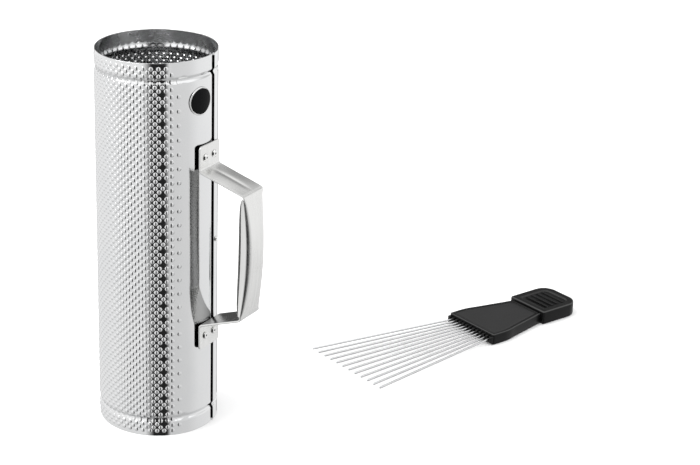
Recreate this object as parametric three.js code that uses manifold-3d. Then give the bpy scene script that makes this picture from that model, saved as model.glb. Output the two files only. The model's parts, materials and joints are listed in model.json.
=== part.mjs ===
// Guira: a rolled sheet-steel tube with a riveted strap handle, and its loose fork scraper.
// Millimetres and degrees. +Z is up, the strap handle is on the +X side of the tube, and the
// origin is at the middle of the base of the whole set.

import * as THREE from 'three';
import { mergeVertices, toCreasedNormals } from 'three/addons/utils/BufferGeometryUtils.js';
import Module from 'manifold-3d';

const wasm = await Module();
wasm.setup();

// Clearance kept between pieces that seat on or in each other
const seatGap = 0.3;

// Tube
const tubeDiameter = 120;
const tubeHeight = 390;
const sheetThickness = 0.8;
const beadFromEnd = 18;
const beadWidth = 7;
const beadDepth = 1.6;

// Lap seam, measured round the tube from the handle's centre line
const lapAngle = 10;
const lapWidth = 10.5;
const lapEdge = 0.4;
const joggleWidth = 4.5;

// Plain margins of the sheet on each side of the lap
const plainBeforeLap = 41;
const plainAfterLap = 52;

// Pressed domes: pitch round the tube and up it, in a staggered lattice, drawn further apart than
// on the real sheet, whose domes are about 7 mm apart
const domePitchRound = 12.8;
const domePitchUp = 13;
const domeHeight = 1;

// Strap handle
const strapWidth = 34;
const strapThickness = 2;
const handleBelowRim = 87;
const topFootLength = 25;
const topArmDrop = 15;
const gripLength = 130;
const bottomArmDrop = 17;
const bottomFootLength = 26;
const gripDistanceTop = 111.5;
const gripDistanceBottom = 108.5;
const gripBow = 6.5;
const footBendRadius = 4;
const gripBendRadius = 4;
const footCornerRadius = 3;
const flangeWidth = 12;
const flangeStart = 2;
const flangeSwell = 5.3;
const flangeFold = 76;
const flangeRunIn = 0.16;

// Blind rivets
const footRivetSpacing = 15;
const footRivet = { headRadius: 3.9, headHeight: 1.5, shankRadius: 2, boreRadius: 1.3, bulbRadius: 2.9 };
const seamRivet = { headRadius: 2.8, headHeight: 1, shankRadius: 1.4, boreRadius: 0.9, bulbRadius: 2 };
const bulbLength = 3.2;
const mandrelSink = 0.5;
const mandrelHeadLength = 1.2;
const seamRivetHeight = 198;
const drillLength = 20;

// Badge
const badgeDiameter = 28;
const badgeAngle = -11;
const badgeBelowRim = 42;
const badgeThickness = 1.3;
const badgeRimWidth = 1.2;
const badgeRecess = 0.7;
const badgeCrown = 0.5;

// Scraper
const tineCount = 12;
const tineDiameter = 2.1;
const tineFreeLength = 180;
const tineSeat = 32;
const tipSpread = 116;
const rootSpread = 62;
const bodyLength = 84;
const bodyThickness = 13;
const frontWidth = 73;
const shoulderLength = 24;
const shoulderCurveBefore = 8;
const shoulderCurveAfter = 10;
const frontCornerRadius = 2;
const shoulderTaper = 0.22;
const neckWidth = 45;
const bodyBevel = 1.4;
const bodyLedge = 4;
const combLength = 3.5;
const combHeight = 7.5;
const combMargin = 2;
const slotWidth = 2.9;
const coverBorder = 3;
const coverThickness = 1.6;
const coverSink = 0.4;
const coverGroove = 0.6;
const coverBevel = 0.3;
const buttLength = 56;
const buttWidth = 55;
const buttThickness = 16;
const buttCornerRadius = 16;
const buttFrontRadius = 2;
const buttBevel = 1.6;
const tangLength = 24;
const tangInset = 4;
const buttPanelBorder = 8;
const buttPanelDepth = 1.6;
const gripRibCount = 4;
const gripRibWidth = 2.6;

// Where the scraper lies on the ground, from the tube's axis to its middle, and its direction
const scraperOffsetX = 179;
const scraperOffsetY = 329;
const scraperTurn = 68;

// How far a cutting tool reaches past the face that it cuts
const overcut = 2;

// Facets: the plain wall's step in degrees, points on turned pieces, and rows along the strap
const tubeStep = 8;
const roundFacets = 12;
const tineFacets = 8;
const cornerRows = [0, 0.16, 0.45, 1];
const armRows = 2;
const gripRows = 9;
const bendSteps = 4;

// Sharpest turn, in degrees, that is shaded as one smooth surface: on turned pieces, and on the
// sheet, where the flat sides of the domes stay flat
const smoothTurn = 35;
const smoothSheetTurn = 10;

// How far past its bow the grip's ends point
const bowTangent = 4;

const tubeRadius = tubeDiameter / 2;
const degree = Math.PI / 180;

// Heights of the handle's bends above the tube's base, hung from the rim
const topFootEdge = tubeHeight - handleBelowRim;
const topBend = topFootEdge - topFootLength;
const topCorner = topBend - topArmDrop;
const bottomCorner = topCorner - gripLength;
const bottomBend = bottomCorner - bottomArmDrop;
const bottomFootEdge = bottomBend - bottomFootLength;

const polishedSteel = new THREE.MeshStandardMaterial({ color: 0xd6d8da, roughness: 0.18, metalness: 1 });
const satinSteel = new THREE.MeshStandardMaterial({ color: 0xc4c4c2, roughness: 0.38, metalness: 1 });
const darkSteel = new THREE.MeshStandardMaterial({ color: 0x55565a, roughness: 0.5, metalness: 0.9 });
const wireSteel = new THREE.MeshStandardMaterial({ color: 0xd9dadc, roughness: 0.22, metalness: 1 });
const blackEnamel = new THREE.MeshStandardMaterial({ color: 0x0c0c0e, roughness: 0.12, metalness: 0 });
const blackPlastic = new THREE.MeshStandardMaterial({ color: 0x232324, roughness: 0.55, metalness: 0 });

function mesh(name, geometry, material, smooth = smoothTurn) {
  const part = new THREE.Mesh(toCreasedNormals(geometry, smooth * degree), material);
  part.name = name;
  return part;
}

// Degrees round the tube's outside for a length of arc
function arcDegrees(length) {
  return length / tubeRadius / degree;
}

function cylindrical(radius, angle, z) {
  return new THREE.Vector3(radius * Math.cos(angle * degree), radius * Math.sin(angle * degree), z);
}

// Joining and cutting of closed shapes
function toSolid(geometry) {
  const bare = geometry.clone();
  bare.deleteAttribute('normal');
  bare.deleteAttribute('uv');
  const merged = mergeVertices(bare, 1e-4);
  const vertProperties = new Float32Array(merged.attributes.position.array);
  const triVerts = new Uint32Array(merged.index.array);
  return new wasm.Manifold(new wasm.Mesh({ numProp: 3, vertProperties, triVerts }));
}

function toGeometry(solid) {
  const result = solid.getMesh();
  const geometry = new THREE.BufferGeometry();
  geometry.setAttribute('position', new THREE.BufferAttribute(result.vertProperties, 3));
  geometry.setIndex(new THREE.BufferAttribute(result.triVerts, 1));
  geometry.computeVertexNormals();
  return geometry;
}

function cut(geometry, tools) {
  let solid = toSolid(geometry);
  for (const tool of tools) {
    solid = solid.subtract(toSolid(tool));
  }
  return toGeometry(solid);
}

function join(geometries) {
  let solid = toSolid(geometries[0]);
  for (const geometry of geometries.slice(1)) {
    solid = solid.add(toSolid(geometry));
  }
  return toGeometry(solid);
}

// A closed skin from a front and a back sheet of points, lists of equally long rows, with side edges
function slabSkin(front, back) {
  const rows = front.length;
  const columns = front[0].length;
  const points = [...front, ...back].flat();
  const faces = [];
  const at = (side, row, column) => (side * rows + row) * columns + column;
  const quad = (a, b, c, d) => faces.push(a, b, c, a, c, d);
  for (let row = 0; row < rows - 1; row += 1) {
    for (let column = 0; column < columns - 1; column += 1) {
      quad(at(0, row, column), at(0, row, column + 1), at(0, row + 1, column + 1), at(0, row + 1, column));
      quad(at(1, row, column), at(1, row + 1, column), at(1, row + 1, column + 1), at(1, row, column + 1));
    }
    const end = columns - 1;
    quad(at(1, row, 0), at(0, row, 0), at(0, row + 1, 0), at(1, row + 1, 0));
    quad(at(0, row, end), at(1, row, end), at(1, row + 1, end), at(0, row + 1, end));
  }
  for (let column = 0; column < columns - 1; column += 1) {
    const last = rows - 1;
    quad(at(1, 0, column), at(1, 0, column + 1), at(0, 0, column + 1), at(0, 0, column));
    quad(at(0, last, column), at(0, last, column + 1), at(1, last, column + 1), at(1, last, column));
  }
  const geometry = new THREE.BufferGeometry().setFromPoints(points);
  geometry.setIndex(faces);
  geometry.computeVertexNormals();
  return geometry;
}

// Joins two neighbouring columns of points with triangles. Across a square gap the edge goes between
// the two corners nearer the axis, so that each dome keeps its own slopes.
function zip(left, right, faces) {
  let i = 0;
  let j = 0;
  while (i < left.length - 1 || j < right.length - 1) {
    const upLeft = left[i + 1];
    const upRight = right[j + 1];
    let climbLeft = !upRight;
    if (upLeft && upRight) {
      const step = upRight.z - upLeft.z;
      const level = Math.abs(step) < 1e-6;
      climbLeft = level ? upLeft.out + right[j].out < left[i].out + upRight.out : step > 0;
    }
    const top = climbLeft ? upLeft : upRight;
    faces.push(left[i].index, right[j].index, top.index);
    i += climbLeft ? 1 : 0;
    j += climbLeft ? 0 : 1;
  }
}

// A closed skin round the Z axis from matching rings of outer and inner columns, each from the base
// up. Columns may differ in how many points they have.
function ringSkin(outer, inner) {
  const points = [];
  const faces = [];
  const numbered = (columns) => columns.map((column) => column.map((point) => {
    points.push(point);
    return { index: points.length - 1, z: point.z, out: Math.hypot(point.x, point.y) };
  }));
  const outside = numbered(outer);
  const inside = numbered(inner);
  const quad = (a, b, c, d) => faces.push(a.index, b.index, c.index, a.index, c.index, d.index);
  outside.forEach((outLeft, k) => {
    const next = (k + 1) % outside.length;
    const outRight = outside[next];
    const inLeft = inside[k];
    const inRight = inside[next];
    zip(outLeft, outRight, faces);
    zip(inRight, inLeft, faces);
    quad(inLeft[0], inRight[0], outRight[0], outLeft[0]);
    quad(outLeft.at(-1), outRight.at(-1), inRight.at(-1), inLeft.at(-1));
  });
  const geometry = new THREE.BufferGeometry().setFromPoints(points);
  geometry.setIndex(faces);
  geometry.computeVertexNormals();
  return geometry;
}

// Values from the first stop to the last that pass through every stop in steps no longer than step
function divide(stops, step) {
  const values = [stops[0]];
  for (let i = 1; i < stops.length; i += 1) {
    const span = stops[i] - stops[i - 1];
    const count = Math.max(1, Math.ceil(span / step));
    for (let k = 1; k <= count; k += 1) {
      values.push(stops[i - 1] + (span * k) / count);
    }
  }
  return values;
}

const lapEnd = lapAngle + arcDegrees(lapWidth);
const joggleEnd = lapEnd + arcDegrees(joggleWidth);
const edgeAngle = arcDegrees(lapEdge);

// Rise of the sheet's outer end where it laps over the other one, and its way back down
function lapRise(angle) {
  if (angle < lapAngle + edgeAngle || angle >= joggleEnd) {
    return 0;
  }
  return sheetThickness * Math.min(1, (joggleEnd - angle) / (joggleEnd - lapEnd));
}

// Inside, the wall steps out where the inner end of the sheet stops
function lapStep(angle) {
  return angle < lapEnd + edgeAngle ? 0 : lapRise(angle);
}

function beadInset(z) {
  const fromEnd = Math.min(z, tubeHeight - z);
  const offset = Math.abs(fromEnd - beadFromEnd) / (beadWidth / 2);
  return offset < 1 ? beadDepth * Math.cos((offset * Math.PI) / 2) ** 2 : 0;
}

const patternFrom = lapAngle + arcDegrees(plainAfterLap);
const patternTo = lapAngle + 360 - arcDegrees(plainBeforeLap);

// Angles of the columns: close together where the domes are, half a pitch apart
function domeAngles() {
  return divide([patternFrom, patternTo], arcDegrees(domePitchRound / 2));
}

function plainAngles() {
  const stops = [lapAngle, lapAngle + edgeAngle, lapEnd, lapEnd + edgeAngle, joggleEnd, patternFrom];
  const afterLap = divide(stops, tubeStep).slice(0, -1);
  const beforeLap = divide([patternTo, lapAngle + 360], tubeStep).slice(1, -1);
  return [...afterLap, ...beforeLap];
}

const beadStart = beadFromEnd - beadWidth / 2;

// Levels from the base to the top, with a step for each quarter of a bead
function levels(step) {
  const foot = divide([0, beadStart], step);
  const bead = divide([beadStart, beadStart + beadWidth], beadWidth / 4);
  const half = [...foot, ...bead.slice(1)];
  const mirrored = half.map((z) => tubeHeight - z).reverse();
  const middle = divide([half.at(-1), mirrored[0]], step);
  return [...half, ...middle.slice(1, -1), ...mirrored];
}

// The domes stand in a square lattice turned by 45 degrees, clear of the rims and the beads
function isDome(column, row, columnCount, heights) {
  const z = heights[row];
  const inside = column > 0 && column < columnCount - 1 && z > 0 && z < tubeHeight;
  const fromBead = Math.abs(Math.min(z, tubeHeight - z) - beadFromEnd);
  return inside && (column + row) % 2 === 0 && fromBead > beadWidth / 2 - 1e-6;
}

function outerColumn(angle, heights, rise) {
  return heights.map((z, row) => {
    const radius = tubeRadius + lapRise(angle) - beadInset(z) + rise(row);
    return cylindrical(radius, angle, z);
  });
}

function innerColumn(angle, heights) {
  const radius = tubeRadius - sheetThickness + lapStep(angle);
  return heights.map((z) => cylindrical(radius - beadInset(z), angle, z));
}

// Places of the blind rivets: two in each foot of the handle, side by side and square to it, and
// one that points at the tube's axis through the lap
const topRivetHeight = (topFootEdge + topBend) / 2;
const bottomRivetHeight = (bottomFootEdge + bottomBend) / 2;
const footRivetPlaces = [
  { name: 'top_front', angle: 0, across: -footRivetSpacing / 2, height: topRivetHeight },
  { name: 'top_rear', angle: 0, across: footRivetSpacing / 2, height: topRivetHeight },
  { name: 'bottom_front', angle: 0, across: -footRivetSpacing / 2, height: bottomRivetHeight },
  { name: 'bottom_rear', angle: 0, across: footRivetSpacing / 2, height: bottomRivetHeight },
];
const seamRivetAngle = lapAngle + arcDegrees(lapWidth / 2);
const seamRivetPlace = { name: 'seam', angle: seamRivetAngle, across: 0, height: seamRivetHeight };

// Tools that reach through the tube's wall and what lies on it
function rivetHoles(rivet, places) {
  const radius = rivet.shankRadius + seatGap;
  return places.map((place) => {
    const drill = new THREE.CylinderGeometry(radius, radius, drillLength, roundFacets);
    drill.rotateZ(-Math.PI / 2);
    drill.translate(tubeRadius, place.across, place.height);
    drill.rotateZ(place.angle * degree);
    return drill;
  });
}

function tube() {
  const plainLevels = levels(tubeHeight);
  const domeLevels = levels(domePitchUp / 2);
  const domed = domeAngles();
  const columns = domed.map((angle, column) => {
    const rise = (row) => (isDome(column, row, domed.length, domeLevels) ? domeHeight : 0);
    return { angle, points: outerColumn(angle, domeLevels, rise) };
  });
  for (const angle of plainAngles()) {
    columns.push({ angle, points: outerColumn(angle, plainLevels, () => 0) });
  }
  const turn = (angle) => (angle - lapAngle + 360) % 360;
  columns.sort((a, b) => turn(a.angle) - turn(b.angle));
  const outer = columns.map((column) => column.points);
  const inner = columns.map((column) => innerColumn(column.angle, plainLevels));
  const holes = [...rivetHoles(footRivet, footRivetPlaces), ...rivetHoles(seamRivet, [seamRivetPlace])];
  return mesh('tube', cut(ringSkin(outer, inner), holes), polishedSteel, smoothSheetTurn);
}

// The strap's feet are flat and touch the tube along their middle
const footInner = tubeRadius + seatGap;
const footMiddle = footInner + strapThickness / 2;
const footOuter = footInner + strapThickness;

function bend(before, corner, after, radius) {
  const back = before.clone().sub(corner).normalize();
  const onward = after.clone().sub(corner).normalize();
  const reach = radius / Math.tan(back.angleTo(onward) / 2);
  const start = corner.clone().addScaledVector(back, reach);
  const end = corner.clone().addScaledVector(onward, reach);
  return new THREE.QuadraticBezierCurve(start, corner, end).getPoints(bendSteps);
}

function between(start, end, count) {
  const points = [];
  for (let k = 1; k <= count; k += 1) {
    points.push(start.clone().lerp(end, k / (count + 1)));
  }
  return points;
}

// Side view of the strap as a list of stations: place, share of the way down the grip, and distance
// from a foot's end
function strapStations() {
  const point = (x, z) => new THREE.Vector2(x, z);
  const topEnd = point(footMiddle, topFootEdge);
  const topRoot = point(footMiddle, topBend);
  const upper = point(gripDistanceTop, topCorner);
  const lower = point(gripDistanceBottom, bottomCorner);
  const bottomRoot = point(footMiddle, bottomBend);
  const bottomEnd = point(footMiddle, bottomFootEdge);
  const bow = point(gripBow, 0);
  const towardsLower = lower.clone().addScaledVector(bow, bowTangent);
  const towardsUpper = upper.clone().addScaledVector(bow, bowTangent);
  const rootTop = bend(topEnd, topRoot, upper, footBendRadius);
  const cornerTop = bend(topRoot, upper, towardsLower, gripBendRadius);
  const cornerBottom = bend(towardsUpper, lower, bottomRoot, gripBendRadius);
  const rootBottom = bend(lower, bottomRoot, bottomEnd, footBendRadius);
  const stations = [];
  const add = (place, grip = null, fromEnd = Infinity) => stations.push({ place, grip, fromEnd });
  const rows = cornerRows.map((share) => share * footCornerRadius);
  rows.forEach((row) => add(point(topEnd.x, topEnd.y - row), null, row));
  rootTop.forEach((place) => add(place));
  between(rootTop.at(-1), cornerTop[0], armRows).forEach((place) => add(place));
  cornerTop.forEach((place) => add(place));
  between(cornerTop.at(-1), cornerBottom[0], gripRows).forEach((place, k) => {
    const grip = (k + 1) / (gripRows + 1);
    add(place.addScaledVector(bow, 1 - (2 * grip - 1) ** 2), grip);
  });
  cornerBottom.forEach((place) => add(place));
  between(cornerBottom.at(-1), rootBottom[0], armRows).forEach((place) => add(place));
  rootBottom.forEach((place) => add(place));
  rows.reverse().forEach((row) => add(point(bottomEnd.x, bottomEnd.y + row), null, row));
  return stations;
}

// Width of the folded flange along the grip, how far it is folded there, and how far the flat strap
// swells out to each side for it
function flangeAt(grip) {
  if (grip === null) {
    return { width: flangeStart, fold: 0, swell: 0 };
  }
  const bulge = 1 - (2 * grip - 1) ** 2;
  const width = flangeStart + (flangeWidth - flangeStart) * bulge;
  const fold = flangeFold * Math.min(1, grip / flangeRunIn, (1 - grip) / flangeRunIn);
  return { width, fold, swell: flangeSwell * bulge };
}

// Half the strap's width near a foot's end, where the corners are rounded
function halfWidthAt(fromEnd) {
  const half = strapWidth / 2;
  if (fromEnd >= footCornerRadius) {
    return half;
  }
  const rest = footCornerRadius - fromEnd;
  return half - (footCornerRadius - Math.sqrt(footCornerRadius ** 2 - rest ** 2));
}

// One side of a station's cross-section, from the edge to just before the middle, as the fold leaves
// it: distance across, and in towards the tube
function foldedHalf(station) {
  const { width, fold, swell } = flangeAt(station.grip);
  const line = halfWidthAt(station.fromEnd) + swell - width;
  const first = width / 3;
  const halfFold = (fold / 2) * degree;
  const knee = { across: line + first * Math.cos(halfFold), inward: first * Math.sin(halfFold) };
  const rest = width - first;
  const edge = {
    across: knee.across + rest * Math.cos(fold * degree),
    inward: knee.inward + rest * Math.sin(fold * degree),
  };
  return [edge, knee, { across: line, inward: 0 }, { across: line / 2, inward: 0 }];
}

function strapSection(station) {
  const shape = foldedHalf(station);
  const mirrored = shape.map((p) => ({ across: -p.across, inward: p.inward }));
  const whole = [...mirrored, { across: 0, inward: 0 }, ...shape.reverse()];
  const { x, y: z } = station.place;
  return whole.map((p) => new THREE.Vector3(x - p.inward, p.across, z));
}

// Two sheets of points half the thickness to each side of a mid surface
function thicken(rows, thickness) {
  const columns = rows[0].length;
  const flat = rows.flat();
  const faces = [];
  for (let row = 0; row < rows.length - 1; row += 1) {
    for (let column = 0; column < columns - 1; column += 1) {
      const a = row * columns + column;
      faces.push(a, a + columns, a + 1, a + 1, a + columns, a + columns + 1);
    }
  }
  const sheet = new THREE.BufferGeometry().setFromPoints(flat);
  sheet.setIndex(faces);
  sheet.computeVertexNormals();
  const normals = sheet.attributes.normal;
  const offset = (distance) => rows.map((row, r) => row.map((point, c) => {
    const normal = new THREE.Vector3().fromBufferAttribute(normals, r * columns + c);
    return point.clone().addScaledVector(normal, distance);
  }));
  return [offset(thickness / 2), offset(-thickness / 2)];
}

function strapHandle() {
  const rows = strapStations().map(strapSection).reverse();
  const [outside, inside] = thicken(rows, -strapThickness);
  const strap = slabSkin(outside, inside);
  return mesh('strap_handle', cut(strap, rivetHoles(footRivet, footRivetPlaces)), satinSteel);
}

// A rivet is turned about its own axis. Height 0 is the underside of its head, and it grips down to
// the wall's inside, where its tail is pulled into a bulb.
function rivetBody(rivet, gripLength) {
  const { headRadius, headHeight, shankRadius, boreRadius, bulbRadius } = rivet;
  const tail = -gripLength - bulbLength;
  const outline = [
    [boreRadius, tail],
    [bulbRadius * 0.8, tail],
    [bulbRadius, tail + bulbLength * 0.35],
    [bulbRadius, tail + bulbLength * 0.75],
    [shankRadius, -gripLength],
    [shankRadius, 0],
    [headRadius, 0],
    [headRadius * 0.93, headHeight * 0.5],
    [headRadius * 0.68, headHeight * 0.86],
    [boreRadius, headHeight],
    [boreRadius, tail],
  ];
  return new THREE.LatheGeometry(outline.map(([x, y]) => new THREE.Vector2(x, y)), roundFacets);
}

function mandrelStub(rivet, gripLength) {
  const stem = rivet.boreRadius - seatGap;
  const tail = -gripLength - bulbLength - seatGap;
  const headRadius = rivet.bulbRadius * 0.75;
  const outline = [
    [0, tail - mandrelHeadLength],
    [headRadius * 0.6, tail - mandrelHeadLength],
    [headRadius, tail - mandrelHeadLength * 0.5],
    [headRadius, tail],
    [stem, tail],
    [stem, rivet.headHeight - mandrelSink],
    [0, rivet.headHeight - mandrelSink],
  ];
  return new THREE.LatheGeometry(outline.map(([x, y]) => new THREE.Vector2(x, y)), roundFacets);
}

// How far out the tube's inside is under a rivet's bulb
function innerWall(rivet, place) {
  const reach = Math.abs(place.across) + rivet.bulbRadius;
  return Math.sqrt((tubeRadius - sheetThickness) ** 2 - reach ** 2);
}

function placedRivet(rivet, place, seat) {
  const gripLength = seat - innerWall(rivet, place) + seatGap;
  const group = new THREE.Group();
  const body = mesh(`rivet_${place.name}`, rivetBody(rivet, gripLength), satinSteel);
  const stub = mesh(`mandrel_${place.name}`, mandrelStub(rivet, gripLength), darkSteel);
  for (const piece of [body, stub]) {
    piece.rotation.z = -Math.PI / 2;
    piece.position.set(seat, place.across, place.height);
    group.add(piece);
  }
  group.rotation.z = place.angle * degree;
  return group;
}

function rivets() {
  const group = new THREE.Group();
  for (const place of footRivetPlaces) {
    group.add(placedRivet(footRivet, place, footOuter + seatGap));
  }
  group.add(placedRivet(seamRivet, seamRivetPlace, tubeRadius + sheetThickness + seatGap));
  return group;
}

// Bends a flat turned disc, lying in its own x-z plane, round the tube at a seat radius
function bendRoundTube(geometry, seatRadius) {
  const position = geometry.attributes.position;
  for (let i = 0; i < position.count; i += 1) {
    const angle = -position.getX(i) / seatRadius;
    const radius = seatRadius + position.getY(i);
    position.setXYZ(i, radius * Math.cos(angle), radius * Math.sin(angle), position.getZ(i));
  }
  geometry.computeVertexNormals();
  return geometry;
}

function badgePlate() {
  const outer = badgeDiameter / 2;
  const inner = outer - badgeRimWidth;
  const floor = badgeThickness - badgeRecess;
  const outline = [
    [0, 0],
    [outer * 0.35, 0],
    [outer * 0.7, 0],
    [outer, 0],
    [outer, badgeThickness * 0.7],
    [outer - badgeRimWidth * 0.3, badgeThickness],
    [inner, badgeThickness],
    [inner, floor],
    [inner * 0.66, floor],
    [inner * 0.33, floor],
    [0, floor],
  ];
  return turnedDisc(outline);
}

function badgeFace() {
  const radius = badgeDiameter / 2 - badgeRimWidth - seatGap;
  const floor = badgeThickness - badgeRecess + seatGap;
  const edge = badgeThickness;
  const outline = [
    [0, floor],
    [radius * 0.34, floor],
    [radius * 0.67, floor],
    [radius, floor],
    [radius, edge],
    [radius * 0.75, edge + badgeCrown * 0.45],
    [radius * 0.4, edge + badgeCrown * 0.85],
    [0, edge + badgeCrown],
  ];
  return turnedDisc(outline);
}

function turnedDisc(outline) {
  return new THREE.LatheGeometry(outline.map(([x, y]) => new THREE.Vector2(x, y)), roundFacets * 2);
}

function badge() {
  const seatRadius = tubeRadius + seatGap;
  const group = new THREE.Group();
  group.add(mesh('badge_plate', bendRoundTube(badgePlate(), seatRadius), satinSteel));
  group.add(mesh('badge_face', bendRoundTube(badgeFace(), seatRadius), blackEnamel));
  group.rotation.z = badgeAngle * degree;
  group.position.z = tubeHeight - badgeBelowRim;
  return group;
}

// Outline of the scraper's flat handle in plan, from its front edge (x = 0) to its neck, drawn in
// by inset all round
function handlePlan(inset) {
  const front = frontWidth / 2 - inset;
  const neck = neckWidth / 2 - inset;
  const shoulder = shoulderLength;
  const end = bodyLength - inset;
  const corner = frontCornerRadius;
  const plan = new THREE.Shape();
  const side = (sign) => {
    const points = [
      [inset + corner, sign * front],
      [shoulder - shoulderCurveBefore, sign * front],
      [shoulder + shoulderCurveAfter, sign * (front - (front - neck) * shoulderTaper)],
      [end, sign * neck],
    ];
    return points.map(([x, y]) => new THREE.Vector2(x, y));
  };
  const lower = side(-1);
  const upper = side(1);
  plan.moveTo(inset, -front + corner);
  plan.quadraticCurveTo(inset, -front, lower[0].x, lower[0].y);
  plan.lineTo(lower[1].x, lower[1].y);
  plan.quadraticCurveTo(shoulder, -front, lower[2].x, lower[2].y);
  plan.lineTo(lower[3].x, lower[3].y);
  plan.lineTo(upper[3].x, upper[3].y);
  plan.lineTo(upper[2].x, upper[2].y);
  plan.quadraticCurveTo(shoulder, front, upper[1].x, upper[1].y);
  plan.lineTo(upper[0].x, upper[0].y);
  plan.quadraticCurveTo(inset, front, inset, front - corner);
  plan.closePath();
  return plan;
}

function roundedPlan(x0, x1, halfWidth, frontRadius, endRadius) {
  const plan = new THREE.Shape();
  plan.moveTo(x0, -halfWidth + frontRadius);
  plan.absarc(x0 + frontRadius, -halfWidth + frontRadius, frontRadius, Math.PI, 1.5 * Math.PI);
  plan.absarc(x1 - endRadius, -halfWidth + endRadius, endRadius, 1.5 * Math.PI, 2 * Math.PI);
  plan.absarc(x1 - endRadius, halfWidth - endRadius, endRadius, 0, 0.5 * Math.PI);
  plan.absarc(x0 + frontRadius, halfWidth - frontRadius, frontRadius, 0.5 * Math.PI, Math.PI);
  plan.closePath();
  return plan;
}

// A plate of a plan's shape between two heights; a bevel rounds its edges within that shape
function slab(plan, bottom, top, bevel) {
  const geometry = new THREE.ExtrudeGeometry(plan, {
    depth: top - bottom - 2 * bevel,
    bevelEnabled: bevel > 0,
    bevelThickness: bevel,
    bevelSize: bevel,
    bevelOffset: -bevel,
    bevelSegments: 2,
    curveSegments: 6,
  });
  geometry.translate(0, 0, bottom + bevel);
  return geometry;
}

function box(x0, x1, halfWidth, bottom, top) {
  const geometry = new THREE.BoxGeometry(x1 - x0, 2 * halfWidth, top - bottom);
  geometry.translate((x0 + x1) / 2, 0, (bottom + top) / 2);
  return geometry;
}

// A tine's line in plan, as its share of the fan from one side (-1) to the other (1)
function tineLine(share) {
  const root = new THREE.Vector2(0, (share * rootSpread) / 2);
  const tip = new THREE.Vector2(-tineFreeLength, (share * tipSpread) / 2);
  const inward = root.clone().sub(tip).normalize();
  return { tip, inward, angle: inward.angle() };
}

const tineShares = Array.from({ length: tineCount }, (_, i) => (2 * i) / (tineCount - 1) - 1);
const tineHeight = bodyThickness / 2;

// Turned pieces along a tine's line start at its tip
function alongTine(geometry, line) {
  geometry.rotateZ(-Math.PI / 2 + line.angle);
  geometry.translate(line.tip.x, line.tip.y, tineHeight);
  return geometry;
}

function tineLength(line) {
  return tineFreeLength / line.inward.x + tineSeat;
}

function tine(index) {
  const line = tineLine(tineShares[index]);
  const radius = tineDiameter / 2;
  const length = tineLength(line);
  const outline = [
    [0, 0],
    [radius * 0.6, radius * 0.2],
    [radius, radius],
    [radius, length],
    [0, length],
  ];
  const wire = new THREE.LatheGeometry(outline.map(([x, y]) => new THREE.Vector2(x, y)), tineFacets);
  const label = String(index + 1).padStart(2, '0');
  return mesh(`tine_${label}`, alongTine(wire, line), wireSteel);
}

function tineSocket(share) {
  const line = tineLine(share);
  const radius = tineDiameter / 2 + seatGap;
  const start = tineFreeLength / line.inward.x - combLength * 2;
  const end = tineLength(line) + seatGap;
  const bore = new THREE.CylinderGeometry(radius, radius, end - start, tineFacets);
  bore.translate(0, (start + end) / 2, 0);
  return alongTine(bore, line);
}

// The comb's slot for a tine, open at the front
function tineSlot(share) {
  const line = tineLine(share);
  const start = tineFreeLength / line.inward.x - combLength * 2;
  const slot = new THREE.BoxGeometry(slotWidth, combLength * 2 - seatGap, combHeight + overcut);
  slot.translate(0, start + combLength - seatGap / 2, 0);
  return alongTine(slot, line);
}

function combBlock() {
  const half = rootSpread / 2 + slotWidth + combMargin;
  return box(-combLength, bodyLedge, half, tineHeight - combHeight / 2, tineHeight + combHeight / 2);
}

function scraperBody() {
  const floor = bodyThickness - coverThickness - coverSink - seatGap;
  const recess = slab(handlePlan(coverBorder), floor, bodyThickness + overcut, 0);
  const plate = slab(handlePlan(0), 0, bodyThickness, bodyBevel);
  const tangHalf = neckWidth / 2 - tangInset;
  const tangTop = bodyThickness - tangInset;
  const tang = box(bodyLength - bodyLedge, bodyLength + tangLength, tangHalf, tangInset, tangTop);
  const blank = join([plate, combBlock(), tang]);
  const holes = tineShares.flatMap((share) => [tineSocket(share), tineSlot(share)]);
  return mesh('scraper_body', cut(blank, [recess, ...holes]), blackPlastic);
}

function scraperCover() {
  const bottom = bodyThickness - coverThickness - coverSink;
  const plan = handlePlan(coverBorder + coverGroove);
  return mesh('scraper_cover', slab(plan, bottom, bottom + coverThickness, coverBevel), blackPlastic);
}

// The butt block slides over the handle's tang. Its top has a sunk panel with cross ribs to hold.
function scraperButt() {
  const start = bodyLength + seatGap;
  const end = bodyLength + buttLength;
  const plan = roundedPlan(start, end, buttWidth / 2, buttFrontRadius, buttCornerRadius);
  const block = slab(plan, 0, buttThickness, buttBevel);
  const mouth = neckWidth / 2 - tangInset + seatGap;
  const low = tangInset - seatGap;
  const high = bodyThickness - tangInset + seatGap;
  const pocket = box(start - overcut, bodyLength + tangLength + seatGap, mouth, low, high);
  const panelStart = start + buttPanelBorder;
  const panelEnd = end - buttPanelBorder;
  const panelHalf = buttWidth / 2 - buttPanelBorder;
  const panelCorner = buttCornerRadius - buttPanelBorder;
  const panelPlan = roundedPlan(panelStart, panelEnd, panelHalf, buttFrontRadius, panelCorner);
  const panel = slab(panelPlan, buttThickness - buttPanelDepth, buttThickness + overcut, 0);
  const hollowed = cut(block, [pocket, panel]);
  const pitch = (panelEnd - panelStart) / (gripRibCount + 1);
  const ribs = [];
  for (let k = 1; k <= gripRibCount; k += 1) {
    const middle = panelStart + k * pitch;
    const ribHalf = panelHalf - buttFrontRadius;
    const half = gripRibWidth / 2;
    const top = buttThickness - buttPanelDepth * 0.25;
    ribs.push(box(middle - half, middle + half, ribHalf, top - buttPanelDepth, top));
  }
  return mesh('scraper_butt', join([hollowed, ...ribs]), blackPlastic);
}

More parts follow.
